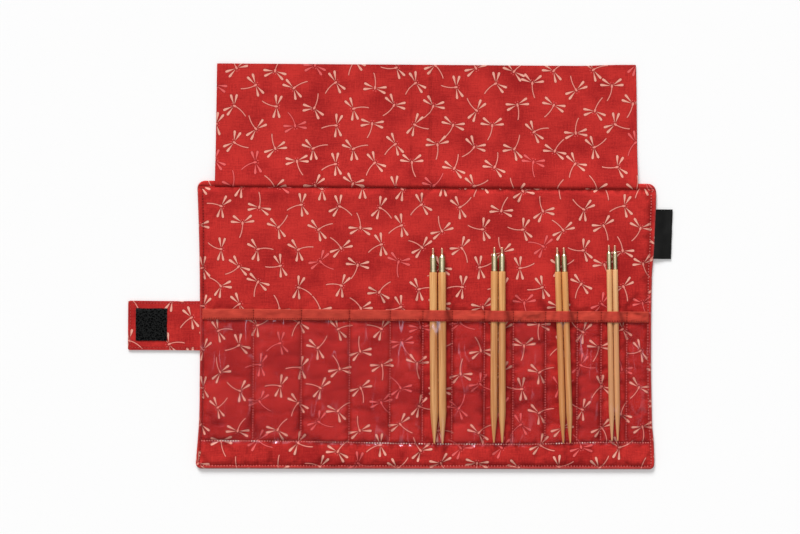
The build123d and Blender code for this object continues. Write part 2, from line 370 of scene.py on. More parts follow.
class Finish:             # one material, or the world, and its nodes
    def __init__(self, name, kind="materials"):
        self.owner = getattr(bpy.data, kind).new(name)
        self.owner.use_nodes = True
        self.tree = self.owner.node_tree
        self.tree.nodes.clear()

    def node(self, kind, settings=None, sockets=None):
        made = self.tree.nodes.new(kind)
        for key, value in (settings or {}).items():
            setattr(made, key, value)
        for key, value in (sockets or {}).items():
            if isinstance(value, Wire):
                self.tree.links.new(value.socket, made.inputs[key])
            else:
                made.inputs[key].default_value = value
        return Wire(self, made.outputs[0]) if made.outputs else made

    def vector(self, operation, first, second=None, scale=None):
        sockets = {0: first}
        if second is not None:
            sockets[1] = second
        if scale is not None:
            sockets[3] = scale
        return self.node("ShaderNodeVectorMath", {"operation": operation}, sockets)

    def parts(self, vector):
        return self.node("ShaderNodeSeparateXYZ", None, {0: vector})

    def step(self, value, low, high):
        return self.node("ShaderNodeMapRange", {"interpolation_type": "SMOOTHSTEP"},
                         {0: value, 1: low, 2: high})

    def mix(self, factor, first, second, blend="MIX"):
        return self.node("ShaderNodeMix", {"data_type": "RGBA", "blend_type": blend},
                         {0: factor, 6: first, 7: second}).out(2)

    def mixShader(self, factor, first, second):
        return self.node("ShaderNodeMixShader", None, {0: factor, 1: first, 2: second})

    def grain(self, place, across, along, seed=0.0, detail=3.0, roughness=0.55):
        # noise drawn out to patches of the given size in millimetres
        spread = self.vector("MULTIPLY", place, (metre / across, metre / along, 1.0))
        moved = self.vector("ADD", spread, (seed * 7.3, seed * 3.1, seed))
        return self.node("ShaderNodeTexNoise", None,
                         {"Vector": moved, "Scale": 1.0, "Detail": detail, "Roughness": roughness})

    def speckle(self, place, detail):
        return self.node("ShaderNodeTexNoise", None, {"Vector": place, "Scale": 1.0, "Detail": detail})

    def cloth(self):
        return self.node("ShaderNodeUVMap", {"uv_map": "cloth"})

    def solid(self):
        return self.node("ShaderNodeTexCoord").out("Object")

    def marked(self, name):
        return self.node("ShaderNodeAttribute", {"attribute_name": name}).out("Fac")

    def bump(self, height, strength, distance):
        return self.node("ShaderNodeBump", None,
                         {"Height": height, "Strength": strength, "Distance": distance * mm})

    def seen(self):
        # 1 for rays that the camera, gloss or clear film sees
        rays = self.node("ShaderNodeLightPath")
        return rays.out("Is Camera Ray").most(rays.out("Is Glossy Ray")).most(rays.out("Is Transmission Ray"))

    def principled(self, **sockets):
        values = {key.replace("_", " "): value for key, value in sockets.items()}
        return self.show(self.node("ShaderNodeBsdfPrincipled", None, values))

    def show(self, shader):
        self.node("ShaderNodeOutputMaterial", None, {"Surface": shader})
        return self.owner


printed = {
    "cell": 26.0,                       # two crossed lattices, one motif in each cell
    "jitter": 2.1,
    "wingRoot": 1.25, "wingLength": 6.4, "wingWidth": 1.02, "wingSpread": 15.5,
    "tailLength": 9.0, "tailWidth": 0.26,
    "bodyWidth": 0.66, "eyeWidth": 0.36, "eyeSide": 0.8, "eyeFront": 2.2,
    "centreShift": 1.64,
    "coralAbove": 0.865,                # the rest of the insects are cream
    "red": srgb(206, 51, 46), "deepRed": srgb(158, 27, 28),
    "cream": srgb(242, 176, 156), "coral": srgb(232, 100, 98),
    "shade": srgb(122, 20, 22), "paleTone": srgb(172, 84, 80),
    "threadPitch": 0.42,
}


def dragonflies(finish, cloth, shift, seed):
    # signed field of the insects in millimetres, of their eyes, and how coral they are
    cell = printed["cell"]
    place = finish.vector("ADD", finish.vector("SCALE", cloth, scale=metre / cell), (shift, shift, 0))
    corner = finish.vector("FLOOR", place)
    chance = finish.node("ShaderNodeTexWhiteNoise", {"noise_dimensions": "3D"},
                         {"Vector": finish.vector("ADD", corner, (seed, seed * 1.7, seed * 0.3))})
    dice = finish.node("ShaderNodeSeparateColor", None, {0: chance.out("Color")})
    red, green, blue = dice, dice.out(1), dice.out(2)
    centred = finish.vector("SUBTRACT", finish.vector("SUBTRACT", place, corner), (0.5, 0.5, 0))
    moved = finish.node("ShaderNodeCombineXYZ", None, {0: (red - 0.5) * (2 * printed["jitter"]),
                                                       1: (green - 0.5) * (2 * printed["jitter"])})
    spot = finish.vector("SUBTRACT", finish.vector("SCALE", centred, scale=cell), moved)
    turned = finish.node("ShaderNodeVectorRotate", {"rotation_type": "Z_AXIS"},
                         {"Vector": spot, "Angle": chance.out("Value") * (2 * math.pi)})
    x = finish.parts(turned)
    y = x.out(1) - printed["centreShift"]

    # four wings are one teardrop, mirrored across the body and across the line between the pair
    lift = blue * 0.62 - 0.1
    across = abs(x)
    up = y - 0.4
    along = across * lift.cosine() + up * lift.sine()
    beside = abs(up * lift.cosine() - across * lift.sine())
    spread = math.radians(printed["wingSpread"])
    reach = along * math.cos(spread) + beside * math.sin(spread) - printed["wingRoot"]
    off = abs(beside * math.cos(spread) - along * math.sin(spread))
    share = (reach / printed["wingLength"]).most(0.0).least(1.0)
    width = (share ** 1.25) * (1.0 - share ** 7.0).root() * printed["wingWidth"] + 0.06
    wing = width - off - (reach - printed["wingLength"]).most(0.0) - (-reach).most(0.0)

    bend = y * y * (green.over(0.5) * 0.05 - 0.025 + (green - 0.5) * 0.03)
    back = -y
    tail = printed["tailWidth"] + back * 0.012 - abs(x - bend)
    tail = tail - (back - printed["tailLength"]).most(0.0) - (-back).most(0.0)
    body = printed["bodyWidth"] - (x * x + (y - 0.1) * (y - 0.1) * 0.3).root()
    field = wing.most(tail).most(body)
    side = across - printed["eyeSide"]
    front = y - printed["eyeFront"]
    eyes = printed["eyeWidth"] - (side * side + front * front).root()
    return field, eyes, green.over(printed["coralAbove"]), tail.most(body).over(wing)


def woven(finish, cloth, pitch):
    # threads over and under each other
    waves = finish.parts(finish.vector("SCALE", cloth, scale=2 * math.pi * metre / pitch))
    return waves.sine() * waves.out(1).sine()


def printedCotton(name):
    finish = Finish(name)
    cloth = finish.cloth()
    first, firstEyes, firstCoral, firstBody = dragonflies(finish, cloth, 0.0, 3.0)
    second, secondEyes, secondCoral, secondBody = dragonflies(finish, cloth, 0.5, 11.0)
    field = first.most(second)
    eyes = firstEyes.most(secondEyes)
    nearer = first.over(second)
    coral = firstCoral * nearer + secondCoral * (1.0 - nearer)
    body = firstBody * nearer + secondBody * (1.0 - nearer)
    slubAcross = finish.grain(cloth, 9.0, 0.5, 1.0)
    slubUp = finish.grain(cloth, 0.5, 8.0, 2.0)
    # painted shade: the broad mottle darkens and lightens the ground as soft waves in the cloth would
    mottle = finish.grain(cloth, 26.0, 22.0, 3.0, 2.0)
    pick = finish.grain(cloth, 1.1, 1.1, 4.0, 2.0)
    tone = slubAcross * 0.5 + slubUp * 0.45 + pick * 0.35 + mottle * 0.8
    ground = finish.mix(finish.step(tone, 0.76, 1.3), printed["deepRed"], printed["red"])
    ink = finish.step(field, -0.1, 0.1)
    # painted shadow: the ground darkens in a thin ring round each insect
    halo = finish.step(field, -0.65, -0.05) * (1.0 - ink) * 0.6
    ground = finish.mix(halo, ground, printed["shade"])
    inkColour = finish.mix(coral.most(body * 0.4), printed["cream"], printed["coral"])
    inkColour = finish.mix(finish.step(slubAcross + slubUp, 0.8, 1.25) * 0.22, inkColour, printed["coral"])
    colour = finish.mix(finish.step(eyes, -0.12, 0.12) * 0.75, ground, printed["coral"])
    colour = finish.mix(ink * 0.97, colour, inkColour)
    # painted shade: deep places in seams, creases, puckers and along edges are painted darker
    colour = finish.mix(finish.marked("paintedShade").least(1.0) * 0.6, colour, printed["shade"], "MULTIPLY")
    # the rolled edges turn a paler, greyer pink
    colour = finish.mix(finish.marked("rim") * 0.62, colour, printed["paleTone"])
    raised = woven(finish, cloth, printed["threadPitch"]) * 0.5 + slubAcross * 0.9 + slubUp * 0.7 + ink * 0.25
    return finish.principled(Base_Color=colour, Roughness=0.86, Normal=finish.bump(raised, 0.35, 0.1),
                             Sheen_Weight=0.03, Sheen_Roughness=0.5, Specular_IOR_Level=0.12)


cotton = printedCotton("printedCotton")
print("print mixed,", len(cotton.node_tree.nodes), "nodes")

tapeLook = {
    "dark": srgb(178, 56, 45), "light": srgb(204, 72, 56), "shade": srgb(112, 24, 24),
    "threadPitch": 0.5,
}


def tapeFinish():
    finish = Finish("rustTape")
    cloth = finish.cloth()
    across = finish.grain(cloth, 5.0, 0.35, 5.0)
    mottle = finish.grain(cloth, 7.0, 5.0, 6.0)
    tone = finish.step(across * 0.6 + mottle * 0.6, 0.42, 0.8)
    colour = finish.mix(tone, tapeLook["dark"], tapeLook["light"])
    # painted shade beside the needles and along the sewn edge
    colour = finish.mix(finish.marked("paintedShade") * 0.6, colour, tapeLook["shade"], "MULTIPLY")
    normal = finish.bump(woven(finish, cloth, tapeLook["threadPitch"]) * 0.6 + across, 0.3, 0.08)
    return finish.principled(Base_Color=colour, Roughness=0.8, Normal=normal,
                             Sheen_Weight=0.03, Specular_IOR_Level=0.12)


filmLook = {
    "tint": (0.935, 0.9, 0.905, 1), "gloss": (0.98, 0.8, 1, 1), "roughness": 0.16, "index": 1.18,
    "creases": 0.28,          # how strongly the curled creases shine
    "mouth": (-0.062, -0.040),          # they are strongest above this stretch of the pockets, in metres
    "inner": 0.02,            # what the inner face still reflects
}


def filmFinish():
    # clear film: a faint tint, and the gloss of its two faces
    finish = Finish("clearFilm")
    cloth = finish.cloth()
    ripple = finish.grain(cloth, 5.0, 26.0, 8.0, 2.0)
    dent = finish.grain(cloth, 3.0, 3.0, 9.0, 1.0)
    normal = finish.bump(ripple + dent * 0.25, 0.4, 0.35)
    creased = finish.grain(cloth, 8.0, 34.0, 17.0, 1.0)
    paleTone = finish.grain(cloth, 14.0, 26.0, 18.0, 1.0)
    mouth = finish.step(finish.parts(cloth).out(1), *filmLook["mouth"])
    line = (1.0 - finish.step(abs(creased - 0.5), 0.003, 0.032)) * finish.step(paleTone, 0.5, 0.66)
    line = line * (mouth * 0.75 + 0.25)
    clear = finish.node("ShaderNodeBsdfTransparent", None, {"Color": filmLook["tint"]})
    gloss = finish.node("ShaderNodeBsdfGlossy", None,
                        {"Color": filmLook["gloss"], "Roughness": filmLook["roughness"], "Normal": normal})
    fresnel = finish.node("ShaderNodeFresnel", None, {"IOR": filmLook["index"], "Normal": normal})
    inner = finish.node("ShaderNodeNewGeometry").out("Backfacing")
    share = (fresnel + line * filmLook["creases"]) * (1.0 - inner) + inner * filmLook["inner"]
    return finish.show(finish.mixShader(share, clear, gloss))


bambooLook = {
    "dark": srgb(196, 132, 74), "light": srgb(240, 187, 122), "pale": srgb(238, 190, 144),
    "orange": srgb(212, 138, 70), "brown": srgb(214, 142, 78), "fleck": srgb(158, 98, 52),
}


def bambooFinish():
    finish = Finish("bamboo")
    grainMap = finish.node("ShaderNodeUVMap", {"uv_map": "grain"})
    fibre = finish.grain(grainMap, 0.28, 30.0, 12.0, 4.0, 0.6)
    streak = finish.grain(grainMap, 1.3, 60.0, 13.0, 2.0)
    fleck = finish.grain(grainMap, 0.16, 3.2, 14.0, 1.0)
    tone = finish.grain(grainMap, 9.0, 120.0, 15.0, 0.0)
    lines = finish.step(fibre * 0.6 + streak * 0.5, 0.44, 0.66)
    colour = finish.mix(lines, bambooLook["dark"], bambooLook["light"])
    # the thinnest pair is paler and one needle more orange, told by their place along X
    x = finish.parts(finish.solid())
    pale = finish.step(x, 0.125, 0.13) * 0.45
    orange = finish.step(x, 0.1, 0.102) * (1.0 - finish.step(x, 0.1065, 0.108)) * 0.5
    colour = finish.mix(pale, colour, bambooLook["pale"])
    colour = finish.mix(orange, colour, bambooLook["orange"])
    colour = finish.mix(finish.step(tone, 0.35, 0.7) * 0.35, colour, bambooLook["brown"])
    colour = finish.mix(finish.step(fleck, 0.66, 0.78) * 0.4, colour, bambooLook["fleck"])
    normal = finish.bump(fibre + fleck * 0.4, 0.25, 0.04)
    return finish.principled(Base_Color=colour, Roughness=0.45, Normal=normal,
                             Coat_Weight=0.15, Coat_Roughness=0.3, Specular_IOR_Level=0.35)


# colour along the top and down the flanks, where it is painted dark as shade and dull reflection, and the
# share of a turn over which one becomes the other
metalLook = {
    "paleNickel": {"light": (0.88, 0.79, 0.52, 1), "dark": (0.27, 0.20, 0.085, 1),
                   "roughness": 0.26, "flank": (0.02, 0.1)},
    "warmStud": {"light": (0.84, 0.46, 0.31, 1), "dark": (0.42, 0.18, 0.10, 1),
                 "roughness": 0.34, "flank": (0.1, 0.2)},
}


def metalFinish(name, light, dark, roughness, flank):
    finish = Finish(name)
    turn = finish.parts(finish.node("ShaderNodeUVMap", {"uv_map": "turn"}))
    # painted shade: the flanks are painted dark and less metallic, for the shaded cloth they would reflect
    paintedFlankShade = finish.step(abs(turn - 0.5), *flank)
    place = finish.solid()
    scuff = finish.speckle(finish.vector("MULTIPLY", place, (900, 90, 900)), 0.0)
    haze = finish.speckle(finish.vector("SCALE", place, scale=400), 1.0)
    polished = finish.mix(haze, light, tuple(0.86 * c for c in light[:3]) + (1,))
    return finish.principled(Base_Color=finish.mix(paintedFlankShade, polished, dark), Metallic=1.0 - paintedFlankShade * 0.6,
                             Roughness=scuff * 0.05 + haze * 0.04 + (roughness - 0.045),
                             Normal=finish.bump(scuff, 0.05, 0.01))


# pale shows on part of the rows: in patches of the given size, as painted glints; and on the border, as pale
# thread along its bottom and painted glints up its right side
threadLook = {
    "redThread": {"light": srgb(214, 96, 92), "dark": srgb(168, 52, 52)},
    "darkThread": {"light": srgb(122, 30, 28), "dark": srgb(84, 16, 16)},
    "borderThread": {"light": srgb(170, 58, 56), "dark": srgb(122, 26, 26), "pale": srgb(218, 110, 105)},
    "pinkThread": {"light": srgb(236, 112, 106), "dark": srgb(200, 84, 82)},
    "lineThread": {"light": srgb(248, 150, 142), "dark": srgb(216, 108, 104), "pale": srgb(255, 238, 230),
                   "patch": 11.0},
}


def threadFinish(name, light, dark, pale=None, patch=None):
    finish = Finish(name)
    place = finish.solid()
    ply = finish.speckle(finish.vector("SCALE", place, scale=3500), 1.0)
    colour = finish.mix(finish.step(ply, 0.35, 0.65), dark, light)
    if patch:
        # painted glints, in patches along the row
        shine = finish.speckle(finish.vector("SCALE", place, scale=metre / patch), 1.0)
        colour = finish.mix(finish.step(shine, 0.56, 0.62), colour, pale)
    elif pale:
        # the border's thread is pale along its bottom, and painted with glints up its right side
        x = finish.parts(place)
        paleTone = finish.step(x.out(1), -0.1262, -0.1276).most(finish.step(x, 0.15, 0.155) * 0.8)
        colour = finish.mix(paleTone, colour, pale)
    return finish.principled(Base_Color=colour, Roughness=0.8, Normal=finish.bump(ply, 0.3, 0.05),
                             Specular_IOR_Level=0.1)


fleeceLook = {
    "hookTape": {"size": 1.15, "light": srgb(44, 45, 45), "dark": srgb(1, 1, 2), "sparse": 0.72},
    "loopTape": {"size": 0.8, "light": srgb(34, 35, 36), "dark": srgb(8, 8, 9), "sparse": 0.3},
}


def fleeceFinish(name, size, light, dark, sparse):
    finish = Finish(name)
    place = finish.solid()
    spread = finish.vector("SCALE", place, scale=metre / size)
    tuft = finish.node("ShaderNodeTexVoronoi", {"feature": "F1"},
                       {"Vector": spread, "Scale": 1.0, "Randomness": 0.9})
    speck = finish.speckle(finish.vector("SCALE", place, scale=1400), 2.0)
    mask = finish.step(tuft, 0.1, 0.55) * 0.6 + speck * 0.5
    colour = finish.mix(finish.step(mask, sparse, 0.85), dark, light)
    return finish.principled(Base_Color=colour, Roughness=0.75,
                             Normal=finish.bump(tuft + speck * 0.6, 0.7, 0.25), Specular_IOR_Level=0.02)


satinLook = {"dark": srgb(3, 3, 3), "light": srgb(14, 14, 13)}


def satinFinish():
    finish = Finish("blackSatin")
    cloth = finish.cloth()
    rib = finish.grain(cloth, 0.3, 12.0, 21.0, 1.0)
    soft = finish.grain(cloth, 6.0, 9.0, 22.0, 1.0)
    tone = finish.step(soft * 0.7 + rib * 0.4, 0.35, 0.75)
    colour = finish.mix(tone, satinLook["dark"], satinLook["light"])
    return finish.principled(Base_Color=colour, Roughness=0.42, Normal=finish.bump(rib, 0.25, 0.05),
                             Anisotropic=0.5, Specular_IOR_Level=0.18)


tape = tapeFinish()
film = filmFinish()
bamboo = bambooFinish()
metals = {name: metalFinish(name, **look) for name, look in metalLook.items()}
threads = {name: threadFinish(name, **look) for name, look in threadLook.items()}
fleeces = {name: fleeceFinish(name, **look) for name, look in fleeceLook.items()}
satin = satinFinish()
print("finishes ready")

padShape = {
    "border": 2.0,         # height of the roll between edge and topstitch
    "edgeTop": 0.85, "edgeRoll": 1.1,
    "rise": 4.2,           # from the topstitch up to the full height
    "sideGroove": 0.34, "bottomGroove": 0.6, "seamGroove": 0.75, "lineGroove": 0.55,
    "lipDrop": 0.9, "lipRoll": 3.3, "lipLow": 1.0,      # the slit's lower lip rolls over
    "lowest": 0.8,
    "overCover": 0.45,     # its underside, above the cover's outer face
    "stepX": 1.4, "stepY": 1.15,
}


def underFlap(x):
    return smooth(-121.5, -118.0, x) * smooth(154.3, 150.8, x)


# painted shade: how much darker the lining is painted in the border's groove, the pocket seams, the pucker
# valleys and at the slit under the flap
def paintedShadeDepth(x, y):
    side, low = sideDepth(x, y), y - bottomEdge(x)
    groove = hill(side - sideInset(y), 0.45)
    if side > case["sideStitch"] - 0.5:
        groove = max(groove, hill(low - case["bottomStitch"], 0.45))
    if low < case["bottomStitch"] - 0.4:
        groove = 0
    depth = (0.12 if x > 0 and side < low else 0.32) * groove
    depth += 0.6 * seamDepth(x, y) + 0.8 * puckerDepth(x, y)
    return depth + hill(case["crease"] - 0.85 - y, 0.8) * (0.18 + 0.12 * underFlap(x))


def rimShare(x, y):
    # the rolled edge turns a paler, greyer pink, most along the bottom
    return max(smooth(1.7, 0.7, y - bottomEdge(x)), 0.75 * smooth(1.1, 0.4, sideDepth(x, y)))


quilting = {
    "pitch": 1.5,                     # threads of the simulated lining, in mm
    "scale": 10.0,                    # how much larger it is while it moves
    "margin": 2,                      # it ends this far inside the edge
    "sewnMargin": 0.8, "sewnWidth": 0.76,         # sewn down this near to the border, and to a seam
    "spare": 0.035,                   # the lining is this much longer than the pad between its seams
    "quality": 6, "mass": 0.2, "stretch": 20, "shear": 8, "bending": 0.3,
    "pressure": 0.3, "frames": 20,
    "unevenness": 0.02, "seed": 9,    # it starts this uneven, in mm
    "cap": 3.0,                       # how far it may move, in mm
    "reach": 3,                       # folds longer than this many threads are smoothed away
    "strength": 1.25,
}


def sewnDown(x, y):
    # whether the lining is stitched to the pad there
    margin, width = quilting["sewnMargin"], quilting["sewnWidth"]
    if sideDepth(x, y) - sideInset(y) < margin or y - bottomEdge(x) < case["bottomStitch"] + margin:
        return True
    if case["crease"] - y < 2 * margin or abs(y - lineY(x)) < width:
        return True
    return lineY(x) < y < case["bandTop"] and seamGap(x) < width


def averaged(rows, reach):
    out = []
    for row in rows:
        padded = [row[0]] * reach + row + [row[-1]] * reach
        out.append([sum(padded[k:k + 2 * reach + 1]) / (2 * reach + 1) for k in range(len(row))])
    return out


def turnedRows(rows):
    return [list(row) for row in zip(*rows)]


def letGo(piece):
    # lets a piece move as cloth and returns the mesh it settles to
    cloth = piece.modifiers.new("Cloth", "CLOTH")
    cloth.collision_settings.use_collision = False
    settings = cloth.settings
    settings.quality = quilting["quality"]
    settings.mass = quilting["mass"]
    settings.tension_stiffness = settings.compression_stiffness = quilting["stretch"]
    settings.shear_stiffness = quilting["shear"]
    settings.bending_stiffness = quilting["bending"]
    settings.vertex_group_mass = "sewn"
    settings.shrink_min = -quilting["spare"]
    settings.use_pressure = True
    settings.uniform_pressure_force = quilting["pressure"]
    settings.effector_weights.gravity = 0
    for number in range(1, quilting["frames"] + 1):
        bpy.context.scene.frame_set(number)
    return piece.evaluated_get(bpy.context.evaluated_depsgraph_get()).data


def simulateQuilting():
    # the lining is let go between its seams, with the wadding pressing from below, and wrinkles by itself
    scale, cap, reach = quilting["scale"], quilting["cap"], quilting["reach"]
    left, right = case["left"] + quilting["margin"], case["right"] - quilting["margin"]
    low, high = case["bottom"] + quilting["margin"], case["crease"] - 0.5
    across, up = round((right - left) / quilting["pitch"]), round((high - low) / quilting["pitch"])
    heights = [[0.0] * (up + 1) for _ in range(across + 1)]
    grid = (left, low, (right - left) / across, (high - low) / up)
    bm = bmesh.new()
    bmesh.ops.create_grid(bm, x_segments=across, y_segments=up, size=0.5)
    dice = random.Random(quilting["seed"])
    uneven = quilting["unevenness"]
    places, sewn = [], []
    for index, vert in enumerate(bm.verts):
        i, j = round((vert.co.x + 0.5) * across), round((vert.co.y + 0.5) * up)
        x, y = left + (right - left) * i / across, low + (high - low) * j / up
        places.append((i, j))
        if sewnDown(x, y):
            sewn.append(index)
        vert.co = (x * mm * scale, y * mm * scale, dice.uniform(-uneven, uneven) * mm * scale)
    piece = makePiece("quiltingTrial", bm, cotton)
    piece.vertex_groups.new(name="sewn").add(sewn, 1.0, "REPLACE")
    settled = letGo(piece)
    for vert, (i, j) in zip(settled.vertices, places):
        heights[i][j] = max(-cap, min(vert.co.z / (mm * scale), cap))
    bpy.context.scene.frame_set(1)
    bpy.data.meshes.remove(piece.data)
    soft = turnedRows(averaged(turnedRows(averaged(heights, reach)), reach))
    heights = [[a - b for a, b in zip(row, base)] for row, base in zip(heights, soft)]
    lowest, highest = min(map(min, heights)), max(map(max, heights))
    print("quilting settled, wrinkles from %.2f to %.2f mm" % (lowest, highest))
    return grid + (heights,)


quilted = simulateQuilting()


def puckerDepth(x, y):
    left, low, stepX, stepY, heights = quilted
    u, v = (x - left) / stepX, (y - low) / stepY
    i, j = math.floor(u), math.floor(v)
    if i < 0 or j < 0 or i >= len(heights) - 1 or j >= len(heights[0]) - 1:
        return 0.0
    u, v = u - i, v - j
    calm = 0.5 * smooth(15, 5, x) * smooth(-98, -86, y)        # the wide pockets wrinkle less
    lower = heights[i][j] * (1 - u) + heights[i + 1][j] * u
    upper = heights[i][j + 1] * (1 - u) + heights[i + 1][j + 1] * u
    return -quilting["strength"] * (1 - calm) * (lower * (1 - v) + upper * v)


def seamDepth(x, y):
    # grooves of the pocket seams and of the line under them
    seams = case["seams"]
    depth = 0.0
    line = lineY(x)
    if line - 1 < y < case["bandTop"] + 1:
        share = smooth(case["bandTop"] + 1, case["bandTop"] - 2, y) * smooth(line - 1, line + 1.5, y)
        near = seamGap(x)
        depth += padShape["seamGroove"] * share * (0.55 * hill(near, 0.7) + 0.45 * hill(near, 2.4))
    if seams[0] - 2 < x < seams[-1] + 2:
        off = abs(y - line)
        depth = max(depth, padShape["lineGroove"] * (0.72 * hill(off, 0.7) + 0.28 * hill(off, 2.0)))
    return depth


def liningHeight(x, y):
    full, border, edge = case["liningTop"], padShape["border"], padShape["edgeTop"]
    side, low = sideDepth(x, y), y - bottomEdge(x)
    inset = case["bottomStitch"] if low < side else sideInset(y)
    nearEdge = insideCorner(side, low, cornerSize(x, -100))
    height = edge + (border - edge) * rolled(edgeDepth(x, y), padShape["edgeRoll"])
    height += (full - border) * smooth(inset - 0.3, inset + padShape["rise"], nearEdge)
    height -= padShape["bottomGroove" if low < side else "sideGroove"] * hill(nearEdge - inset, 0.5)
    lip = case["crease"] - 0.2 - y
    height -= padShape["lipDrop"] * smooth(5.5, 0.0, lip)
    if lip < padShape["lipRoll"]:
        lipLow = padShape["lipLow"] + 0.9 * (1 - underFlap(x))
        height = min(height, lipLow + (full - lipLow) * rolled(lip, padShape["lipRoll"]))
    height -= seamDepth(x, y)
    height -= smooth(0.5, 7, nearEdge) * (0.1 + 0.22 * wave(x, y, 31.0, 2.0) + 0.1 * wave(x, y, 12.0, 4.0))
    height -= puckerDepth(x, y)
    return max(padShape["lowest"], min(height, full))


cover = {
    "edgeRoll": 1.3, "edgeLift": 0.5,
    "stitchLift": 0.12, "seamLift": 0.25,         # how far the stitches pull the outer face up
    "thickness": 0.42, "step": 3.0,
    "printShift": (140.0, 61.0),
}


def coverHeight(x, y):
    depth = edgeDepth(x, y)
    height = cover["edgeLift"] * (1 - rolled(depth, cover["edgeRoll"]))
    height += cover["stitchLift"] * hill(depth - sideInset(y), 0.6)
    return height + cover["seamLift"] * seamDepth(x, y)


def panelY(x, y):
    # shifts the grid's rows to the wandering seam and the leaning bottom edge
    line, low = case["stitchLine"], case["bottom"]
    if y < line:
        share = (line - y) / (line - low)
        return y + (lineY(x) - line) * (1 - share) + (bottomEdge(x) - low) * share
    return y + (lineY(x) - line) * smooth(line + 40, line, y)


def panelPlace(x, y):
    # bends the grid's border to the waisted sides and the round corners
    y = panelY(x, y)
    for right, edge, still in ((False, case["left"], case["stillLeft"]),
                               (True, case["right"], case["stillRight"])):
        share = (x - still) / (edge - still)
        if share > 0:
            x = still + (sideEdge(y, right) - still) * share
    isLeft, isTop = x < middle, y > centreY
    side = x - sideEdge(y, False) if isLeft else sideEdge(y, True) - x
    end = case["top"] - y if isTop else y - bottomEdge(x)
    across, along = rounding(side, end, cornerSize(x, y))
    return x + across * (1 if isLeft else -1), y + along * (-1 if isTop else 1)


def openMiddle(bm):
    # the two halves meet in the middle of the spine, so neither keeps its end wall there
    walls = [f for f in bm.faces if all(abs(v.co.x - middle * mm) < 1e-6 for v in f.verts)]
    bmesh.ops.delete(bm, geom=walls, context="FACES_ONLY")


def panelHalf(name, half, xs, ys, upper, lower, paintedShade, shift=(0.0, 0.0)):
    # one half of a pad, from the heights of its two faces
    bm, flat, under = clothShell(xs, ys)
    for vert in bm.verts:
        x, y = panelPlace(*flat[vert])
        vert.co = (x * mm, y * mm, (lower if vert in under else upper)(x, y) * mm)
    bmesh.ops.recalc_face_normals(bm, faces=bm.faces)
    openMiddle(bm)
    mapCloth(bm, flat, shift)
    depths = [0.0 if v in under else paintedShade(v.co.x / mm, v.co.y / mm) for v in bm.verts]
    rims = [rimShare(v.co.x / mm, v.co.y / mm) for v in bm.verts]
    piece = makePiece(name + half, bm, cotton)
    markPoints(piece, "rim", rims)
    markPoints(piece, "paintedShade", depths)
    bendAcross(piece, half)
    return piece


def padUnderside(x, y):
    return coverHeight(x, y) + padShape["overCover"]


def liningPad(half):
    left, right = halfSpan(half, case["left"], case["right"])
    seams = [seam for seam in innerSeams if left < seam < right]
    border = case["left"] + 2.6 if half == "left" else case["right"] - 2.6
    xs = gridLines(left, right, padShape["stepX"], seams + [border], (half == "left", half == "right"))
    ys = gridLines(case["bottom"], case["crease"] - 0.2, padShape["stepY"],
                   [case["stitchLine"]], (True, True))
    piece = panelHalf("lining_", half, xs, ys, liningHeight, padUnderside, paintedShadeDepth)
    return piece


padLeft = liningPad("left")
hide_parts("left_lining", "left_wadding", "spine_lining", "spine_wadding")
padRight = liningPad("right")
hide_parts("right_lining", "right_wadding")
print("lining padded,", len(padLeft.data.polygons) + len(padRight.data.polygons), "faces")

hem = {
    "height": 2.0, "roll": 1.2, "edge": 0.7, "dip": 0.55,
    "foot": 2.6,              # it starts this far below the crease
}


def hemHeight(x, y):
    height = hem["edge"] + (hem["height"] - hem["edge"]) * rolled(edgeDepth(x, y), hem["roll"])
    lip = case["crease"] - 0.3 - y
    if lip > -1.2:                                # goes down into the slit
        height = min(height, hem["height"] - hem["dip"] * smooth(-1.2, 0.2, lip))
    return height - 0.18 * abs(wave(x, y, 14.0, 6.0))


def coverInside(x, y):
    # the cover's inner face, which shows as the hem above the flap
    inside = coverHeight(x, y) + cover["thickness"]
    start = case["crease"] - hem["foot"]
    if y > start:
        inside = inside + (hemHeight(x, y) - inside) * smooth(start, case["crease"] - 1.4, y)
    return inside


# painted shade along the crease where the flap comes out
def coverPaintedShade(x, y):
    return 0.5 * hill(y - case["crease"] + 0.1, 0.6)


def coverPad(half):
    left, right = halfSpan(half, case["left"], case["right"])
    xs = gridLines(left, right, cover["step"], (), (half == "left", half == "right"))
    ys = gridLines(case["bottom"], case["top"], cover["step"],
                   [case["crease"], case["crease"] - 2.0], (True, True))
    piece = panelHalf("cover_", half, xs, ys, coverInside, coverHeight, coverPaintedShade, cover["printShift"])
    return piece


coverLeft = coverPad("left")
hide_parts("left_outer_cover", "spine_outer_cover")
coverRight = coverPad("right")
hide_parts("right_outer_cover")
print("cover laid")

pockets = {
    "top": -28.2, "tail": 1.7, "inset": 0.75,
    "gap": 0.12,              # film over a needle
    "tipGap": 0.25,           # film past a needle's tip
    "lift": 0.16, "seamLift": 0.14,               # film over the lining, and at a seam
    "sag": 0.16, "dip": 0.22,                     # from a seam up to a needle, and between two needles
    "loose": [0.55, 0.9, 0.7, 0.85, 0.6, 0.9, 0.45, 0.7, 0.5, 0.8, 0.45, 0.6, 0.5],
    "ripple": 0.1,
    "step": 1.6, "rowStep": 1.5,
    "fineStep": 0.42, "fineReach": 3.5,           # closer threads over each pair
}


def axisPlace(name, y):
    x, foot, lean, _ = needles[name]
    return x - (y - foot) * math.tan(math.radians(lean))


def shaftRadius(name, y):
    foot, radius = needles[name][1], needles[name][3] / 2
    t = max(y - foot, 0.0)
    tip = needleSizes["tip"]
    share = min(t / needleSizes["taper"], 1)
    return (tip + (radius - tip) * (1 - (1 - share) ** 1.25)) * rolled(t, tip)


def tangent(point, centre, radius, side):
    # where the taut film meets a needle; side is 1 for film coming up from the left
    dx, dz = (centre[0] - point[0]) * side, centre[1] - point[1]
    lean = math.atan2(dz, dx) + math.asin(min(radius / math.hypot(dx, dz), 1))
    return centre[0] - side * radius * math.sin(lean), centre[1] + radius * math.cos(lean)


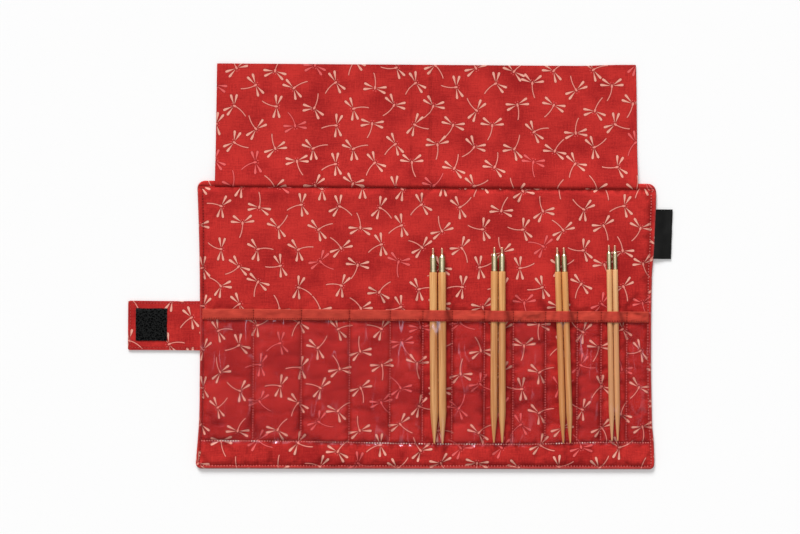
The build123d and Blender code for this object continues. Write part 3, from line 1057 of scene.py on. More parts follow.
def pairRow(pair, y):
    # one row of film over a pair: feet, touching places and needle tops
    first = pair[0]
    index = max(i for i, seam in enumerate(case["seams"]) if seam < axisPlace(first, -70))
    start = needles[first][1] + pockets["tipGap"]
    at = max(y, start)
    feet = []
    for place in (seamPlace(index, y), seamPlace(index + 1, y)):
        feet.append((place, liningHeight(place, y) + pockets["seamLift"]))
    rounds = []
    for name in pair:
        centre = (axisPlace(name, at), needleSizes["restHeight"] + needles[name][3] / 2)
        rounds.append((centre, shaftRadius(name, at) + pockets["gap"]))
    touches = [tangent(feet[0], *rounds[0], 1), tangent(feet[1], *rounds[1], -1)]
    share = 1.0 if y > start else smooth(lineY(needles[first][0]), start, y)
    return feet, rounds, touches, share


def slope(foot, touch, x):
    # the film from a seam up to where it touches a needle
    part = (x - foot[0]) / (touch[0] - foot[0])
    return foot[1] + (touch[1] - foot[1]) * (part - pockets["sag"] * math.sin(math.pi * part) * (1 - part))


def overPair(rounds, x):
    # the film on the two needles and between them
    height = 0.0
    for centre, radius in rounds:
        off = abs(x - centre[0])
        if off < radius:
            height = max(height, centre[1] + math.sqrt(radius * radius - off * off))
    (first, firstRadius), (second, secondRadius) = rounds
    if first[0] <= x <= second[0]:
        across = (x - first[0]) / (second[0] - first[0])
        bridge = first[1] + firstRadius + (second[1] + secondRadius - first[1] - firstRadius) * across
        height = max(height, bridge - pockets["dip"] * math.sin(math.pi * across))
    return height


def rowHeight(row, x):
    feet, rounds, touches, share = row
    if x <= feet[0][0] or x >= feet[1][0]:
        return None
    base = feet[0][1] + (feet[1][1] - feet[0][1]) * (x - feet[0][0]) / (feet[1][0] - feet[0][0])
    if x < touches[0][0]:
        height = slope(feet[0], touches[0], x)
    elif x > touches[1][0]:
        height = slope(feet[1], touches[1], x)
    else:
        height = overPair(rounds, x)
    return base + (height - base) * share


def softHeight(row, x):
    # the film is too stiff for sharp bends
    here = rowHeight(row, x)
    if here is None:
        return None
    near = [rowHeight(row, x + step) for step in (-1.1, -0.55, 0.55, 1.1)]
    near = [here if h is None else h for h in near]
    return (near[0] + 2 * near[1] + 3 * here + 2 * near[2] + near[3]) / 9 + 0.06


def looseRise(x, y, ripple):
    # how far the film stands off the lining in a pocket without needles
    seams, line = case["seams"], lineY(x)
    if not seams[0] < x < seams[-1] or y <= line:
        return 0.0
    index = max(i for i in range(lastSeam) if seams[i] < x)
    low, high = seamPlace(index, y), seamPlace(index + 1, y)
    if not low < x < high:
        return 0.0
    across = math.sin(math.pi * (x - low) / (high - low))
    up, mouth = smooth(line, line + 16, y), smooth(-75, -30, y)
    rise = pockets["loose"][index] * (0.35 + 0.5 * up * (0.5 + wave(x, y, 30.0, 9.0)) + 0.45 * mouth)
    return across ** 0.8 * max(0.05, rise) + across * max(0.0, ripple)


def filmHeights(places):
    # height of the film at many places, worked out row by row
    rows = {}
    heights = []
    for x, y in places:
        key = round(y * 20) / 20
        if key not in rows:
            rows[key] = [pairRow(pair, key) for pair in pairs]
        height = liningHeight(x, y) + pockets["lift"]
        ripple = pockets["ripple"] * (wave(x * 5.5, y, 22.0, 15.0) + 0.4)
        over = [h for h in (softHeight(row, x) for row in rows[key]) if h is not None]
        if over:
            height = max(height, *(h + max(0.0, ripple * 0.35) for h in over))
        else:
            height += looseRise(x, y, ripple)
        heights.append(height)
    return heights


def filmLines(left, right, step):
    # threads across the film: close over the needles, wide between them
    fine, reach = pockets["fineStep"], pockets["fineReach"]
    lines = {left, right}
    for first, second in pairs:
        low, high = axisPlace(first, -27) - reach, axisPlace(second, -114) + reach
        lines.update(low + fine * k for k in range(int((high - low) / fine) + 1))
    for seam in innerSeams:
        lines.update((seam - 1.2, seam - 0.5, seam, seam + 0.5, seam + 1.2))
    lines = sorted(p for p in lines if left <= p <= right)
    kept = [lines[0]]
    for place in lines[1:]:
        if place - kept[-1] >= 0.2 or place == right:
            kept.append(place)
    return filledIn(kept, step)


def filmPlace(x, y, inset):
    # the film runs out under the border's topstitch, close to the edge
    y = panelY(x, y)
    low, high = sideEdge(y, False) + inset, sideEdge(y, True) - inset
    flatLow, flatHigh = case["left"] + inset, case["right"] - inset
    stillLow, stillHigh = case["stillLeft"], case["stillRight"]
    if x < stillLow:
        x = stillLow + (low - stillLow) * (x - stillLow) / (flatLow - stillLow)
    if x > stillHigh:
        x = stillHigh + (high - stillHigh) * (x - stillHigh) / (flatHigh - stillHigh)
    return x, y


def pocketFilm(half):
    inset = pockets["inset"]
    left, right = halfSpan(half, case["left"] + inset, case["right"] - inset)
    ys = gridLines(case["stitchLine"] - pockets["tail"], pockets["top"], pockets["rowStep"],
                   [case["stitchLine"], -112.3])
    bm, flat = clothGrid(filmLines(left, right, pockets["step"]), ys)
    places = [filmPlace(*flat[v], inset) for v in bm.verts]
    for vert, (x, y), z in zip(bm.verts, places, filmHeights(places)):
        vert.co = (x * mm, y * mm, z * mm)
    mapCloth(bm, flat)
    piece = makePiece("pocket_film_" + half, bm, film)
    bendAcross(piece, half)
    (right - left) * mm
    (ys[-1] - ys[0]) * mm
    return piece


filmLeft = pocketFilm("left")
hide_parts("left_pocket_vinyl", "spine_pocket_vinyl")
filmRight = pocketFilm("right")
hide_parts("right_pocket_vinyl")
print("film over the pockets,", len(filmLeft.data.polygons) + len(filmRight.data.polygons), "faces")

band = {"thickness": 0.4, "waver": 0.22, "crown": 0.14, "stitchUp": 1.0, "lift": 0.1, "rows": 12, "step": 1.2}
bandDeep = case["bandTop"] - case["bandBottom"]


def bandEdge(x):
    return case["bandBottom"] + band["waver"] * (wave(x, 0.0, 5.0, 31.0) + 0.6 * wave(x, 0.0, 1.9, 33.0))


def bandHeights(places):
    heights = filmHeights([(x, max(y, case["bandBottom"])) for x, y in places])
    out = []
    for (x, y), height in zip(places, heights):
        up = y - case["bandBottom"]
        crown = band["crown"] * (1 - (2 * (up / bandDeep) - 1) ** 4)
        sewn = 0.12 * hill(up - band["stitchUp"], 0.4) + 0.12 * hill(seamGap(x), 0.6)
        out.append(height + band["lift"] + crown - sewn + 0.05 * wave(x, y, 3.0, 35.0))
    return out


def bandPaintedShade(x, y):
    # painted shade: the band is painted darker beside each pair, more on its right, and along its sewn edge
    dark = 0.25 * hill(y - case["bandBottom"] - 0.2, 0.5)
    slant = 0.35 * (y - (case["bandBottom"] + case["bandTop"]) / 2)
    for first, second in pairs:
        leftEdge = axisPlace(first, y) - needles[first][3] / 2
        rightEdge = axisPlace(second, y) + needles[second][3] / 2
        dark = max(dark, 0.75 * hill(x - rightEdge - 1.8 + slant, 1.3))
        dark = max(dark, 0.45 * hill(x - leftEdge + 1.5 - slant, 1.1))
    return max(dark, 0.35 * hill(seamGap(x), 0.5))


def pocketBand(half):
    left, right = halfSpan(half, seamPlace(0, -31) - 0.5, seamPlace(lastSeam, -31) + 0.5)
    ys = [case["bandBottom"] + bandDeep * k / band["rows"] for k in range(band["rows"] + 1)]
    bm, flat = clothGrid(filmLines(left, right, band["step"]), ys)
    places = []
    for vert in bm.verts:
        x, y = flat[vert]
        share = (case["bandTop"] - y) / bandDeep
        shift = (bandEdge(x) - case["bandBottom"]) * share + 0.15 * wave(x, 0, 22.0, 37.0) * (1 - share)
        places.append((x, y + shift))
    for vert, (x, y), z in zip(bm.verts, places, bandHeights(places)):
        vert.co = (x * mm, y * mm, z * mm)
    bmesh.ops.solidify(bm, geom=bm.faces[:], thickness=-band["thickness"] * mm)
    openMiddle(bm)
    mapCloth(bm, {v: (v.co.x / mm, v.co.y / mm) for v in bm.verts})
    depths = [bandPaintedShade(v.co.x / mm, v.co.y / mm) for v in bm.verts]
    piece = makePiece("pocket_band_" + half, bm, tape)
    markPoints(piece, "paintedShade", depths)
    bendAcross(piece, half)
    wide, deep = (right - left) * mm, (ys[-1] - ys[0]) * mm
    2 * deep
    wide * deep
    return piece


bandLeft = pocketBand("left")
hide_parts("left_pocket_binding", "spine_pocket_binding")
bandRight = pocketBand("right")
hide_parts("right_pocket_binding")
print("band sewn on")

# for each kind of row: pitch, stitch size (long, wide, high), lift over the cloth, thread, and the seed
# of the draws that scatter the stitches a little
sewing = {
    "pocket_seams_": (1.65, (0.9, 0.86, 0.46), 0.14, "pinkThread", 41),
    "pocket_line_": (1.7, (0.95, 0.88, 0.48), 0.16, "lineThread", 43),
    "band_stitches_": (1.6, (0.9, 0.66, 0.4), 0.54, "darkThread", 45),
    "border_stitches_": (1.9, (1.15, 0.9, 0.5), 0.32, "borderThread", 47),
    "strap_stitches_far": (2.0, (1.3, 0.42, 0.3), 0.04, "redThread", 63),
    "strap_stitches_near": (2.0, (1.3, 0.42, 0.3), 0.04, "redThread", 65),
}


def sewRow(bm, points, pitch, size, dice):
    # small rounded stitches, evenly spaced along a line of points
    carried = pitch / 2
    for start, end in zip(points, points[1:]):
        start, end = Vector(start), Vector(end)
        run = end - start
        if run.length < 1e-6:
            continue
        along = run.normalized()
        across = Vector((-along.y, along.x, 0)).normalized()
        turn = Matrix((along, across, along.cross(across))).transposed().to_4x4()
        while carried <= run.length:
            spot = start + along * (carried + dice.uniform(-0.06, 0.06) * pitch)
            length = size[0] * dice.uniform(0.9, 1.08)
            stretch = Matrix.Diagonal((length * mm, size[1] * mm, size[2] * mm, 1))
            place = Matrix.Translation(spot * mm) @ turn @ stretch
            bmesh.ops.create_uvsphere(bm, u_segments=6, v_segments=4, radius=0.5, matrix=place)
            carried += pitch
        carried -= run.length


def sewnPiece(kind, heights, rows, half=""):
    # rows of stitches on a cloth, whose heights are asked for at the rows' places
    pitch, size, lift, thread, seed = sewing[kind]
    bm = bmesh.new()
    dice = random.Random(seed)
    for row in rows:
        points = [(x, y, z + lift) for (x, y), z in zip(row, heights(row))]
        sewRow(bm, points, pitch, size, dice)
    bmesh.ops.recalc_face_normals(bm, faces=bm.faces)
    return makePiece(kind + half, bm, threads[thread])


def borderHeights(places):
    # the border is sewn through the film where there is film
    return [filmHeights([(x, y)])[0] if lineY(x) < y < -28 else liningHeight(x, y) for x, y in places]


def borderRow(half):
    # border topstitch: down the side, round the corner and along the bottom
    isRight = half == "right"
    sign = -1 if isRight else 1
    radius = case[half + "Corner"] - case["bottomStitch"]
    low = bottomEdge(case[half]) + case["bottomStitch"] + radius
    side = [(seamPlace(lastSeam if isRight else 0, y), y) for y in spaced(case["crease"] - 3.5, low, 2.0)]
    turnX = side[-1][0] + sign * radius
    bend = [(turnX - sign * radius * math.cos(a), low - radius * math.sin(a))
            for a in spaced(0, math.pi / 2, 0.2)]
    return side + bend + [(x, bottomEdge(x) + case["bottomStitch"]) for x in spaced(turnX, middle, 2.0)]


bandYs = spaced(case["bandBottom"] + 0.6, case["bandTop"] - 0.5, 1.0)
stitchGap = 0.4           # between the rows' ends, in the middle of the spine
for half in ("left", "right"):
    inner = [i for i in range(1, lastSeam) if (case["seams"][i] < middle) == (half == "left")]
    rows = []
    for i in inner:
        start = lineY(case["seams"][i]) + 1.2
        rows.append([(seamPlace(i, y), y) for y in spaced(start, case["bandBottom"] - 0.3, 1.5)])
    bendAcross(sewnPiece("pocket_seams_", filmHeights, rows, half), half)

    line = case["stitchLine"]
    ends = halfSpan(half, seamPlace(0, line), seamPlace(lastSeam, line), stitchGap)
    rows = [[(x, lineY(x)) for x in spaced(*ends, 1.6)]]
    bendAcross(sewnPiece("pocket_line_", filmHeights, rows, half), half)

    ends = halfSpan(half, seamPlace(0, -34) + 0.4, seamPlace(lastSeam, -34) - 0.4, stitchGap)
    rows = [[(seamPlace(i, y), y) for y in bandYs] for i in inner]
    rows.append([(x, case["bandBottom"] + band["stitchUp"]) for x in spaced(*ends, 0.8)])
    bendAcross(sewnPiece("band_stitches_", bandHeights, rows, half), half)

    bendAcross(sewnPiece("border_stitches_", borderHeights, [borderRow(half)], half), half)
print("stitches sewn")

flap = {
    "left": -120.05, "right": 152.85, "end": 130.72,
    "narrow": 1.25,           # narrower at its free end
    "root": 51.62, "rootHeight": 0.9, "rootRoll": 1.3,
    "over": 2.35,             # height of its fold over the hem
    "thickness": 0.5, "turned": 0.05,
    "corner": 0.7, "lap": 1.9, "swing": 0.5, "rise": 0.9,    # its end rises towards the right corner
    "bendStart": 51.9, "bendEnd": 57.0,
    "foldRidge": 0.35, "step": 2.2,
    "printShift": (17.0, 143.0),
}
folds = (case["leftFold"], case["rightFold"])


def flapShare(y):         # 0 at the crease and 1 at the free end
    return (y - case["crease"]) / (flap["end"] - case["crease"])


def flapHeight(x, y):
    t = flapShare(y)
    root, over, above = flap["rootHeight"], flap["over"], y - flap["root"]
    height = over * (1 - smooth(0.02, 0.3, t)) + 0.02
    if above < flap["rootRoll"]:
        height = root + (over - root) * rolled(above, flap["rootRoll"])
    soft = smooth(0.02, 0.25, t)
    height += soft * 0.45 * max(0.0, wave(x, y, 34.0, 51.0) + 0.15)
    height += soft * 0.2 * max(0.0, wave(x, y, 11.0, 53.0))
    for fold in folds:
        height += flap["foldRidge"] * hill(x - fold, 1.1) * soft
    return height


# painted shade along the flap's edges, its fold ridges and its root
def flapPaintedShade(x, y):
    edge = min(x - flap["left"], flap["right"] - x, flap["end"] - y)
    ridge = max(hill(x - fold, 0.7) for fold in folds)
    above = y - flap["root"]
    return 0.3 * hill(edge, 0.5) + 0.18 * ridge + 0.25 * hill(above, 0.6) + 0.35 * hill(above, 2.8)


def flapPlace(x, y):
    # narrows and sways towards the free end, with round corners
    mid, halfWidth = (flap["left"] + flap["right"]) / 2, (flap["right"] - flap["left"]) / 2
    t = max(0.0, flapShare(y))
    across, along = rounding(halfWidth - abs(x - mid), flap["end"] - y, flap["corner"])
    placeX = mid + (x - mid) * (1 - flap["narrow"] * t / halfWidth) + across * (1 if x < mid else -1)
    sway = 0.25 * wave(x, y, 45.0, 55.0) * smooth(case["crease"], case["crease"] + 20, y) - flap["swing"] * t
    return placeX + sway, y + flap["rise"] * smooth(112, 148, x) * t - along


def flapSheet(name, left, right, lift, nodes):
    ridges = [fold for fold in folds if left < fold < right]
    xs = gridLines(left, right, flap["step"], ridges, (left < -100, right > 100))
    ys = gridLines(flap["root"], flap["end"], flap["step"], [case["crease"] + 1.0], (True, True))
    bm, flat = clothGrid(xs, ys)
    for vert in bm.verts:
        x, y = flat[vert]
        depth = min(x - flap["left"], flap["right"] - x, flap["end"] - y)
        turned = flap["turned"] * smooth(3.4, 2.6, depth) * smooth(-0.1, 0.5, depth)
        placeX, placeY = flapPlace(x, y)
        vert.co = (placeX * mm, placeY * mm, (flapHeight(x, y) + turned + lift) * mm)
    mapCloth(bm, flat, flap["printShift"])
    piece = makePiece(name, bm, cotton)
    markPoints(piece, "paintedShade", [flapPaintedShade(v.co.x / mm, v.co.y / mm) for v in piece.data.vertices])
    thicken(piece, flap["thickness"])
    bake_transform(piece)
    (ys[-1] - ys[0]) * mm
    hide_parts(*nodes)


flapSheet("flap_sheet_left", flap["left"], case["leftFold"] + flap["lap"], 0.0,
          ("flap_left_face", "flap_left_back"))
flapSheet("flap_sheet_right", case["rightFold"] - flap["lap"], flap["right"], 0.0,
          ("flap_right_face", "flap_right_back"))
flapSheet("flap_sheet_spine", case["leftFold"] - flap["lap"], case["rightFold"] + flap["lap"], 0.05,
          ("flap_spine_face", "flap_spine_back"))
print("flap laid out")

strap = {
    "start": -128.3, "end": -175.6, "low": -54.7, "high": -22.8,
    "joint": -139.8, "overlap": 0.02,
    "thickness": 0.7, "stitch": 1.5, "crown": 0.12,
    "lift": 0.05, "rootLift": 0.3,                # over the floor, and more beside the panel
    "groove": 0.1, "bow": 0.125, "corner": 0.5, "step": 1.3,
    "rootBend": (-129.0, -132.4), "tongueBend": (-148.9, -151.1),
    "printShift": (31.0, 9.0),
}
strapMiddle = (strap["low"] + strap["high"]) / 2


def strapDepth(x, y):     # how far a point lies inside the strap's outline
    return min(x - strap["end"], y - strap["low"], strap["high"] - y)


def strapHeight(x, y):
    edge = strapDepth(x, y)
    height = strap["lift"] + strap["rootLift"] * smooth(-134, -128.5, x)
    height += strap["crown"] * smooth(0, 2.2, edge)
    height -= strap["groove"] * hill(edge - strap["stitch"], 0.4)
    return height + 0.12 * (0.5 + wave(x, y, 15.0, 61.0)) * smooth(0, 5, edge)


def strapTop(places):
    return [strapHeight(x, y) + strap["thickness"] for x, y in places]


def strapPiece(name, left, right, bodies, bend, nodes):
    xs = gridLines(left, right, strap["step"], (), (True, True))
    ys = gridLines(strap["low"], strap["high"], strap["step"], (), (True, True))
    bm, flat = clothGrid(xs, ys)
    for vert in bm.verts:
        x, y = flat[vert]
        # the long sides bow in and the corners stand out a little
        bow = strap["bow"] * math.sin((x - strap["end"]) / 47 * math.pi) * (1 if y < strapMiddle else -1)
        bow *= smooth(0, 12, abs(y - strapMiddle))
        corner = hill(y - strap["low"], 0.8) - hill(y - strap["high"], 0.8)
        corner *= strap["corner"] * hill(x - strap["end"], 0.8)
        vert.co = (x * mm, (y + bow + corner) * mm, strapHeight(x, y) * mm)
    mapCloth(bm, flat, strap["printShift"])
    # painted shade along the strap's stitch groove
    depths = [0.6 * hill(strapDepth(*flat[v]) - strap["stitch"], 0.4) for v in bm.verts]
    piece = makePiece(name, bm, cotton)
    markPoints(piece, "paintedShade", depths)
    thicken(piece, strap["thickness"])
    bendBetween(piece, bodies, *bend)
    (ys[-1] - ys[0]) * mm
    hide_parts(*nodes)


strapPiece("strap_near", strap["joint"] - strap["overlap"], strap["start"], ("left_panel", "strap_root"),
           strap["rootBend"], ("strap_root_face", "strap_root_back"))
strapPiece("strap_far", strap["end"], strap["joint"], ("strap_root", "strap_tongue"),
           strap["tongueBend"], ("strap_tongue_face", "strap_tongue_back"))

low, high = strap["low"] + strap["stitch"], strap["high"] - strap["stitch"]
end = strap["end"] + strap["stitch"]
rows = [[(x, y) for x in spaced(strap["joint"], end, 1.0)] for y in (low, high)]
rows.append([(end, y) for y in spaced(low, high, 1.0)])
piece = sewnPiece("strap_stitches_far", strapTop, rows)
bendBetween(piece, ("strap_root", "strap_tongue"), *strap["tongueBend"])
rows = [[(x, y) for x in spaced(-130.2, strap["joint"], 1.0)] for y in (low, high)]
piece = sewnPiece("strap_stitches_near", strapTop, rows)
bendBetween(piece, ("left_panel", "strap_root"), *strap["rootBend"])

patch = {
    "left": -170.6, "right": -150.4, "low": -48.6, "high": -27.7,
    "thickness": 0.35, "lift": 0.02, "groove": 0.1, "ragged": 0.22, "step": 1.0,
    "margin": 0.6, "hookPitch": 0.62, "hookScatter": 0.25,
    "hookWire": 0.1, "hookHeight": 0.6, "hookReach": 0.16, "hookBend": 0.25, "hookTurn": 215,
    "seed": 71,
}


def hookTemplate():
    # one small bent hook, spun from a ring of wire
    bm = bmesh.new()
    start = Matrix.Translation((patch["hookReach"] * mm, 0, 0))
    bmesh.ops.create_circle(bm, cap_ends=False, segments=4, radius=patch["hookWire"] * mm, matrix=start)
    rise = (patch["hookHeight"] - patch["hookBend"]) * mm
    made = bmesh.ops.extrude_edge_only(bm, edges=bm.edges[:])
    ring = [g for g in made["geom"] if isinstance(g, bmesh.types.BMVert)]
    bmesh.ops.translate(bm, verts=ring, vec=(0, 0, rise))
    edges = [e for e in bm.edges if all(v in ring for v in e.verts)]
    bmesh.ops.spin(bm, geom=ring + edges, cent=(0, 0, rise), axis=(0, 1, 0), dvec=(0, 0, 0),
                   angle=-math.radians(patch["hookTurn"]), steps=4, use_merge=False)
    mesh = bpy.data.meshes.new("hookTemplate")
    bm.to_mesh(mesh)
    bm.free()
    return mesh


def hookBase():
    bm, flat = areaGrid(patch, patch["step"], patch["step"])
    for vert in bm.verts:
        x, y = flat[vert]
        edge = areaDepth(patch, x, y)
        ragged = patch["ragged"] * hill(edge, 0.5)
        height = strapHeight(x, y) + strap["thickness"] + patch["lift"]
        height -= patch["groove"] * hill(edge - 1.1, 0.4)
        placeX, placeY = x + ragged * wave(x, y, 1.3, 73.0), y + ragged * wave(x, y, 1.3, 75.0)
        vert.co = (placeX * mm, placeY * mm, height * mm)
    mapCloth(bm, flat)
    piece = makePiece("hook_patch_base", bm, fleeces["hookTape"])
    thicken(piece, patch["thickness"])
    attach(piece, "strap_tongue")
    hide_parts("hook_patch")


def hookRows():
    dice = random.Random(patch["seed"])
    margin, pitch, scatter = patch["margin"], patch["hookPitch"], patch["hookScatter"]
    template = hookTemplate()
    bm = bmesh.new()
    for i in range(int((patch["right"] - patch["left"] - margin) / pitch)):
        for j in range(int((patch["high"] - patch["low"] - margin) / pitch)):
            x = patch["left"] + margin + (i + dice.uniform(-scatter, scatter)) * pitch
            y = patch["low"] + margin + (j + dice.uniform(-scatter, scatter)) * pitch
            before = len(bm.verts)
            bm.from_mesh(template)
            bm.verts.ensure_lookup_table()
            z = strapHeight(x, y) + strap["thickness"] + patch["thickness"]
            turn = Matrix.Rotation(dice.uniform(0, 6.28), 4, "Z")
            place = Matrix.Translation((x * mm, y * mm, z * mm)) @ turn
            bmesh.ops.transform(bm, verts=bm.verts[before:], matrix=place)
    bmesh.ops.recalc_face_normals(bm, faces=bm.faces)
    piece = makePiece("hook_patch_hooks", bm, fleeces["hookTape"])
    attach(piece, "strap_tongue")
    bpy.data.meshes.remove(template)


hookBase()
hookRows()
print("strap and hook patch made")

loopPatch = {"left": 141.7, "right": 159.7, "low": -47.75, "high": -27.75, "pile": 0.3, "step": 0.8}


def loopPile():
    bm, flat = areaGrid(loopPatch, loopPatch["step"], loopPatch["step"])
    for vert in bm.verts:
        x, y = flat[vert]
        pile = loopPatch["pile"] * smooth(0, 0.5, areaDepth(loopPatch, x, y))
        pile *= 0.75 + 0.25 * wave(x, y, 0.9, 81.0)
        vert.co = (x * mm, y * mm, -pile * mm)
    bmesh.ops.reverse_faces(bm, faces=bm.faces)
    mapCloth(bm, flat)
    piece = makePiece("loop_patch_pile", bm, fleeces["loopTape"])
    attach(piece, "right_panel")
    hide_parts("loop_patch")


label = {
    "left": 162.9, "right": 175.5, "low": 6.45, "high": 38.45, "thickness": 0.42,
    "skew": 0.9,              # its lower free corner is pulled in
    "rootHeight": 1.05, "drop": 0.8, "wave": 0.12, "endDrop": 0.12, "edgeWave": 0.1,
    "stepX": 0.6, "stepY": 1.0,
}


def sideLabel():
    wide, deep = label["right"] - label["left"], label["high"] - label["low"]
    bm, flat = areaGrid(label, label["stepX"], label["stepY"], (False, True))
    for vert in bm.verts:
        x, y = flat[vert]
        out = (x - label["left"]) / wide
        skew = -label["skew"] * out * (1 - (y - label["low"]) / deep)
        height = label["rootHeight"] - label["drop"] * smooth(0.0, 0.8, out)
        height += label["wave"] * math.sin(y * 0.55 + 1.0) * out - label["endDrop"] * smooth(0.93, 1.0, out)
        vert.co = ((x + skew + label["edgeWave"] * wave(0, y, 5.0, 83.0) * out) * mm, y * mm, height * mm)
    mapCloth(bm, flat)
    piece = makePiece("label_ribbon", bm, satin)
    thicken(piece, label["thickness"])
    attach(piece, "right_panel")
    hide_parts("side_label")


loopPile()
sideLabel()
print("loop patch and label made")


def spun(profile, steps):
    # a profile of (radius, height) pairs turned about the Y axis, closed at both ends
    bm = bmesh.new()
    verts = [bm.verts.new((r * mm, y * mm, 0)) for r, y in profile]
    edges = [bm.edges.new(pair) for pair in zip(verts, verts[1:])]
    bmesh.ops.spin(bm, geom=verts + edges, cent=(0, 0, 0), axis=(0, 1, 0), dvec=(0, 0, 0),
                   angle=2 * math.pi, steps=steps, use_merge=True)
    bmesh.ops.remove_doubles(bm, verts=bm.verts, dist=1e-6)
    bmesh.ops.recalc_face_normals(bm, faces=bm.faces)
    return bm


def nearTurn(turn, other):
    # the same turn, counted so that it lies within half a turn of another
    return turn + 2 * math.pi * round((other - turn) / (2 * math.pi))


def mapTurn(bm):
    # U runs once round the needle and is a half along its top
    layer = bm.loops.layers.uv.new("turn")
    for face in bm.faces:
        centre = face.calc_center_median()
        for loop in face.loops:
            co = loop.vert.co
            turn = math.atan2(co.x, co.z) if math.hypot(co.x, co.z) > 1e-6 else 0.0
            loop[layer].uv = (0.5 + nearTurn(turn, math.atan2(centre.x, centre.z)) / (2 * math.pi), co.y)


def mapGrain(bm, radius, seed):
    # metres round and along the shaft, moved so that no two needles show the same grain
    layer = bm.loops.layers.uv.new("grain")
    for face in bm.faces:
        centre = face.calc_center_median()
        faceTurn = math.atan2(centre.z, centre.x)
        for loop in face.loops:
            co = loop.vert.co
            turn = math.atan2(co.z, co.x) if math.hypot(co.x, co.z) > 1e-6 else faceTurn
            loop[layer].uv = (nearTurn(turn, faceTurn) * radius * mm + seed * 0.031, co.y + seed * 0.047)


def shaftProfile(name):
    foot, radius, long = needles[name][1], needles[name][3] / 2, needleSizes["shaft"]
    profile = [(0.0, 0.0)]
    for t in (0.03, 0.1, 0.2, 0.32, 0.45, 1.5, 3, 5, 7, 9, 11, 13, 15, 17, 18.5, 20):
        profile.append((shaftRadius(name, foot + t), t))
    profile += [(radius, 20 + (long - 20.4) * k / 8) for k in range(1, 9)]
    return profile + [(radius - 0.12, long - 0.02), (0.0, long)]


def collarProfile(collar, base, top):
    # two grooves near the shaft's end, a fine one near the shoulder, then down to the neck
    neck = needleSizes["neck"]
    groove, fine = collar - needleSizes["groove"], collar - needleSizes["fineGroove"]
    shoulder = (collar - neck) * needleSizes["shoulder"]
    straight = top - shoulder
    profile = [(0.0, base), (collar - 0.12, base), (collar, base + 0.12), (collar, base + 1.3),
               (groove, base + 1.45), (groove, base + 1.6), (collar, base + 1.75), (collar, straight - 1.1),
               (fine, straight - 1.0), (fine, straight - 0.85), (collar, straight - 0.75),
               (collar, straight - 0.25)]
    for k in range(1, 7):
        a = k / 6
        profile.append((collar + (neck - collar) * (a ** 0.95), straight - 0.25 + (shoulder + 0.25) * a))
    return profile + [(neck - 0.12, top + 0.06), (0.0, top + 0.06)]


def studProfile(top):
    stud, long = needleSizes["studRadius"], needleSizes["stud"]
    profile = [(0.0, top - 0.1), (stud - 0.14, top - 0.1), (stud - 0.14, top + 0.35)]
    y = top + 0.35
    while y < top + long - 0.6:                   # threads, leaning in towards the end
        lean = 0.06 * (y - top) / long
        profile += [(stud + 0.02 - lean, y + 0.12), (stud - 0.03 - lean, y + 0.3)]
        y += needleSizes["thread"]
    return profile + [(stud - 0.16, top + long - 0.28), (stud - 0.4, top + long), (0.0, top + long + 0.02)]


def makeNeedle(name, seed):
    x, foot, lean, diameter = needles[name]
    radius = diameter / 2
    base = needleSizes["shaft"] - 0.03
    top = base + needleSizes["ferrule"]
    place = Matrix.Translation((x * mm, foot * mm, (needleSizes["restHeight"] + radius) * mm))
    place = place @ Matrix.Rotation(math.radians(lean), 4, "Z")
    shaft = spun(shaftProfile(name), 40)
    mapGrain(shaft, radius, seed)
    collar = spun(collarProfile(radius * needleSizes["ferruleShare"], base, top), 40)
    mapTurn(collar)
    stud = spun(studProfile(top), 28)
    mapTurn(stud)
    parts = ((shaft, "_bamboo", bamboo, "bamboo", "_shaft"),
             (collar, "_collar", metals["paleNickel"], "ferrule_metal", "_ferrule"),
             (stud, "_screw", metals["warmStud"], "stud_metal", "_stud"))
    for bm, part, finish, slot, node in parts:
        bmesh.ops.transform(bm, matrix=place, verts=bm.verts)
        piece = makePiece(name + part, bm, finish)
        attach(piece, name)
        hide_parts(name + node)


for seed, name in enumerate(needles):
    makeNeedle(name, seed)
print("needles turned")

studio = {
    "floorSize": 6.0, "floorHeight": -0.0006,
    "floorGlow": 0.17,        # share of its own light, towards what the camera sees
    "card": {"colour": (0.12, 0.1, 0.075, 1), "strength": 1.0, "size": (0.62, 2.4),
             "side": 0.8, "height": 0.3},
    "strip": {"colour": (1, 0.95, 0.97, 1), "strength": 2.4, "size": (0.26, 0.8),
              "place": (-0.5, 0.0, 1.3), "turn": 201},
    "sky": 0.6, "skySeen": 1.0,           # as light on the case, and as a background
    "sun": 2.93, "sunAngle": 24, "sunFrom": (-0.24, 0.82, 0.54),
    "lens": 100, "camera": (-0.0003, 0.0001, 1.4353), "cameraRoll": 0.4,
}


def glow(finish, colour, strength):
    return finish.node("ShaderNodeEmission", None, {"Color": colour, "Strength": strength})


def flatGrid(parts, size, place):
    bm = bmesh.new()
    bmesh.ops.create_grid(bm, x_segments=parts, y_segments=parts, size=size, matrix=place)
    return bm


def makeFloor():
    finish = Finish("floor")
    white = finish.node("ShaderNodeBsdfDiffuse", None, {"Color": (1, 1, 1, 1)})
    white = finish.mixShader(finish.seen() * studio["floorGlow"], white, glow(finish, (1, 1, 1, 1), 1.0))
    clear = finish.node("ShaderNodeBsdfTransparent")
    # clear from below, for the light that comes up to the underside too
    passed = finish.node("ShaderNodeLightPath").out("Transparent Depth").most(0).least(1)
    below = finish.node("ShaderNodeNewGeometry").out("Backfacing").most(passed)
    material = finish.show(finish.mixShader(below, white, clear))
    place = Matrix.Translation((0, 0, studio["floorHeight"]))
    makePiece("floor", flatGrid(2, studio["floorSize"], place), material)


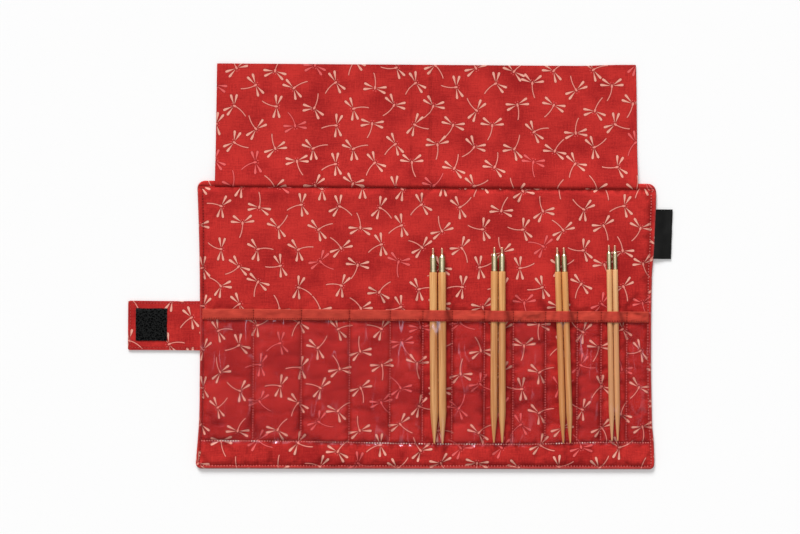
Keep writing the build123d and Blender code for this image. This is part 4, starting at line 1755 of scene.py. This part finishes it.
def reflected(name, material, size, place):
    # a card that shows only in the metal and the film
    card = makePiece(name, flatGrid(1, 0.5, place @ Matrix.Diagonal((*size, 1, 1))), material)
    for ray in ("camera", "diffuse", "shadow", "transmission"):
        setattr(card, "visible_" + ray, False)


def makeCards():
    # two dark cards beside the case
    card = studio["card"]
    finish = Finish("darkCard")
    material = finish.show(glow(finish, card["colour"], card["strength"]))
    upright = Matrix.Rotation(math.pi / 2, 4, "Y")
    for name, side in (("card_left", -1), ("card_right", 1)):
        place = Matrix.Translation((side * card["side"], 0, card["height"])) @ upright
        reflected(name, material, card["size"], place)


def makeStrip():
    # a long narrow lamp overhead that shows only as a glint
    strip = studio["strip"]
    finish = Finish("stripLamp")
    material = finish.show(glow(finish, strip["colour"], strip["strength"]))
    place = Matrix.Translation(strip["place"]) @ Matrix.Rotation(math.radians(strip["turn"]), 4, "Y")
    reflected("strip_lamp", material, strip["size"], place)


def makeWorld():
    finish = Finish("studio", "worlds")
    bpy.context.scene.world = finish.owner
    light = finish.node("ShaderNodeMix", {"data_type": "FLOAT"},
                        {0: finish.seen(), 2: studio["sky"], 3: studio["skySeen"]})
    sky = finish.node("ShaderNodeBackground", None, {"Strength": light})
    finish.node("ShaderNodeOutputWorld", None, {0: sky})


def placed(name, data):
    thing = bpy.data.objects.new(name, data)
    bpy.context.scene.collection.objects.link(thing)
    return thing


def makeSun():
    data = bpy.data.lights.new("sun", "SUN")
    data.energy = studio["sun"]
    data.angle = math.radians(studio["sunAngle"])
    placed("sun", data).rotation_euler = Vector(studio["sunFrom"]).to_track_quat("Z", "Y").to_euler()


def makeCamera():
    data = bpy.data.cameras.new("camera")
    data.lens = studio["lens"]
    data.sensor_width = 36
    data.clip_end = 20
    camera = placed("camera", data)
    camera.location = studio["camera"]
    camera.rotation_euler = (0, 0, math.radians(studio["cameraRoll"]))
    bpy.context.scene.camera = camera


makeFloor()
makeCards()
makeStrip()
makeWorld()
makeSun()
makeCamera()
bpy.context.scene.view_settings.view_transform = "Standard"
print("lights and camera set")
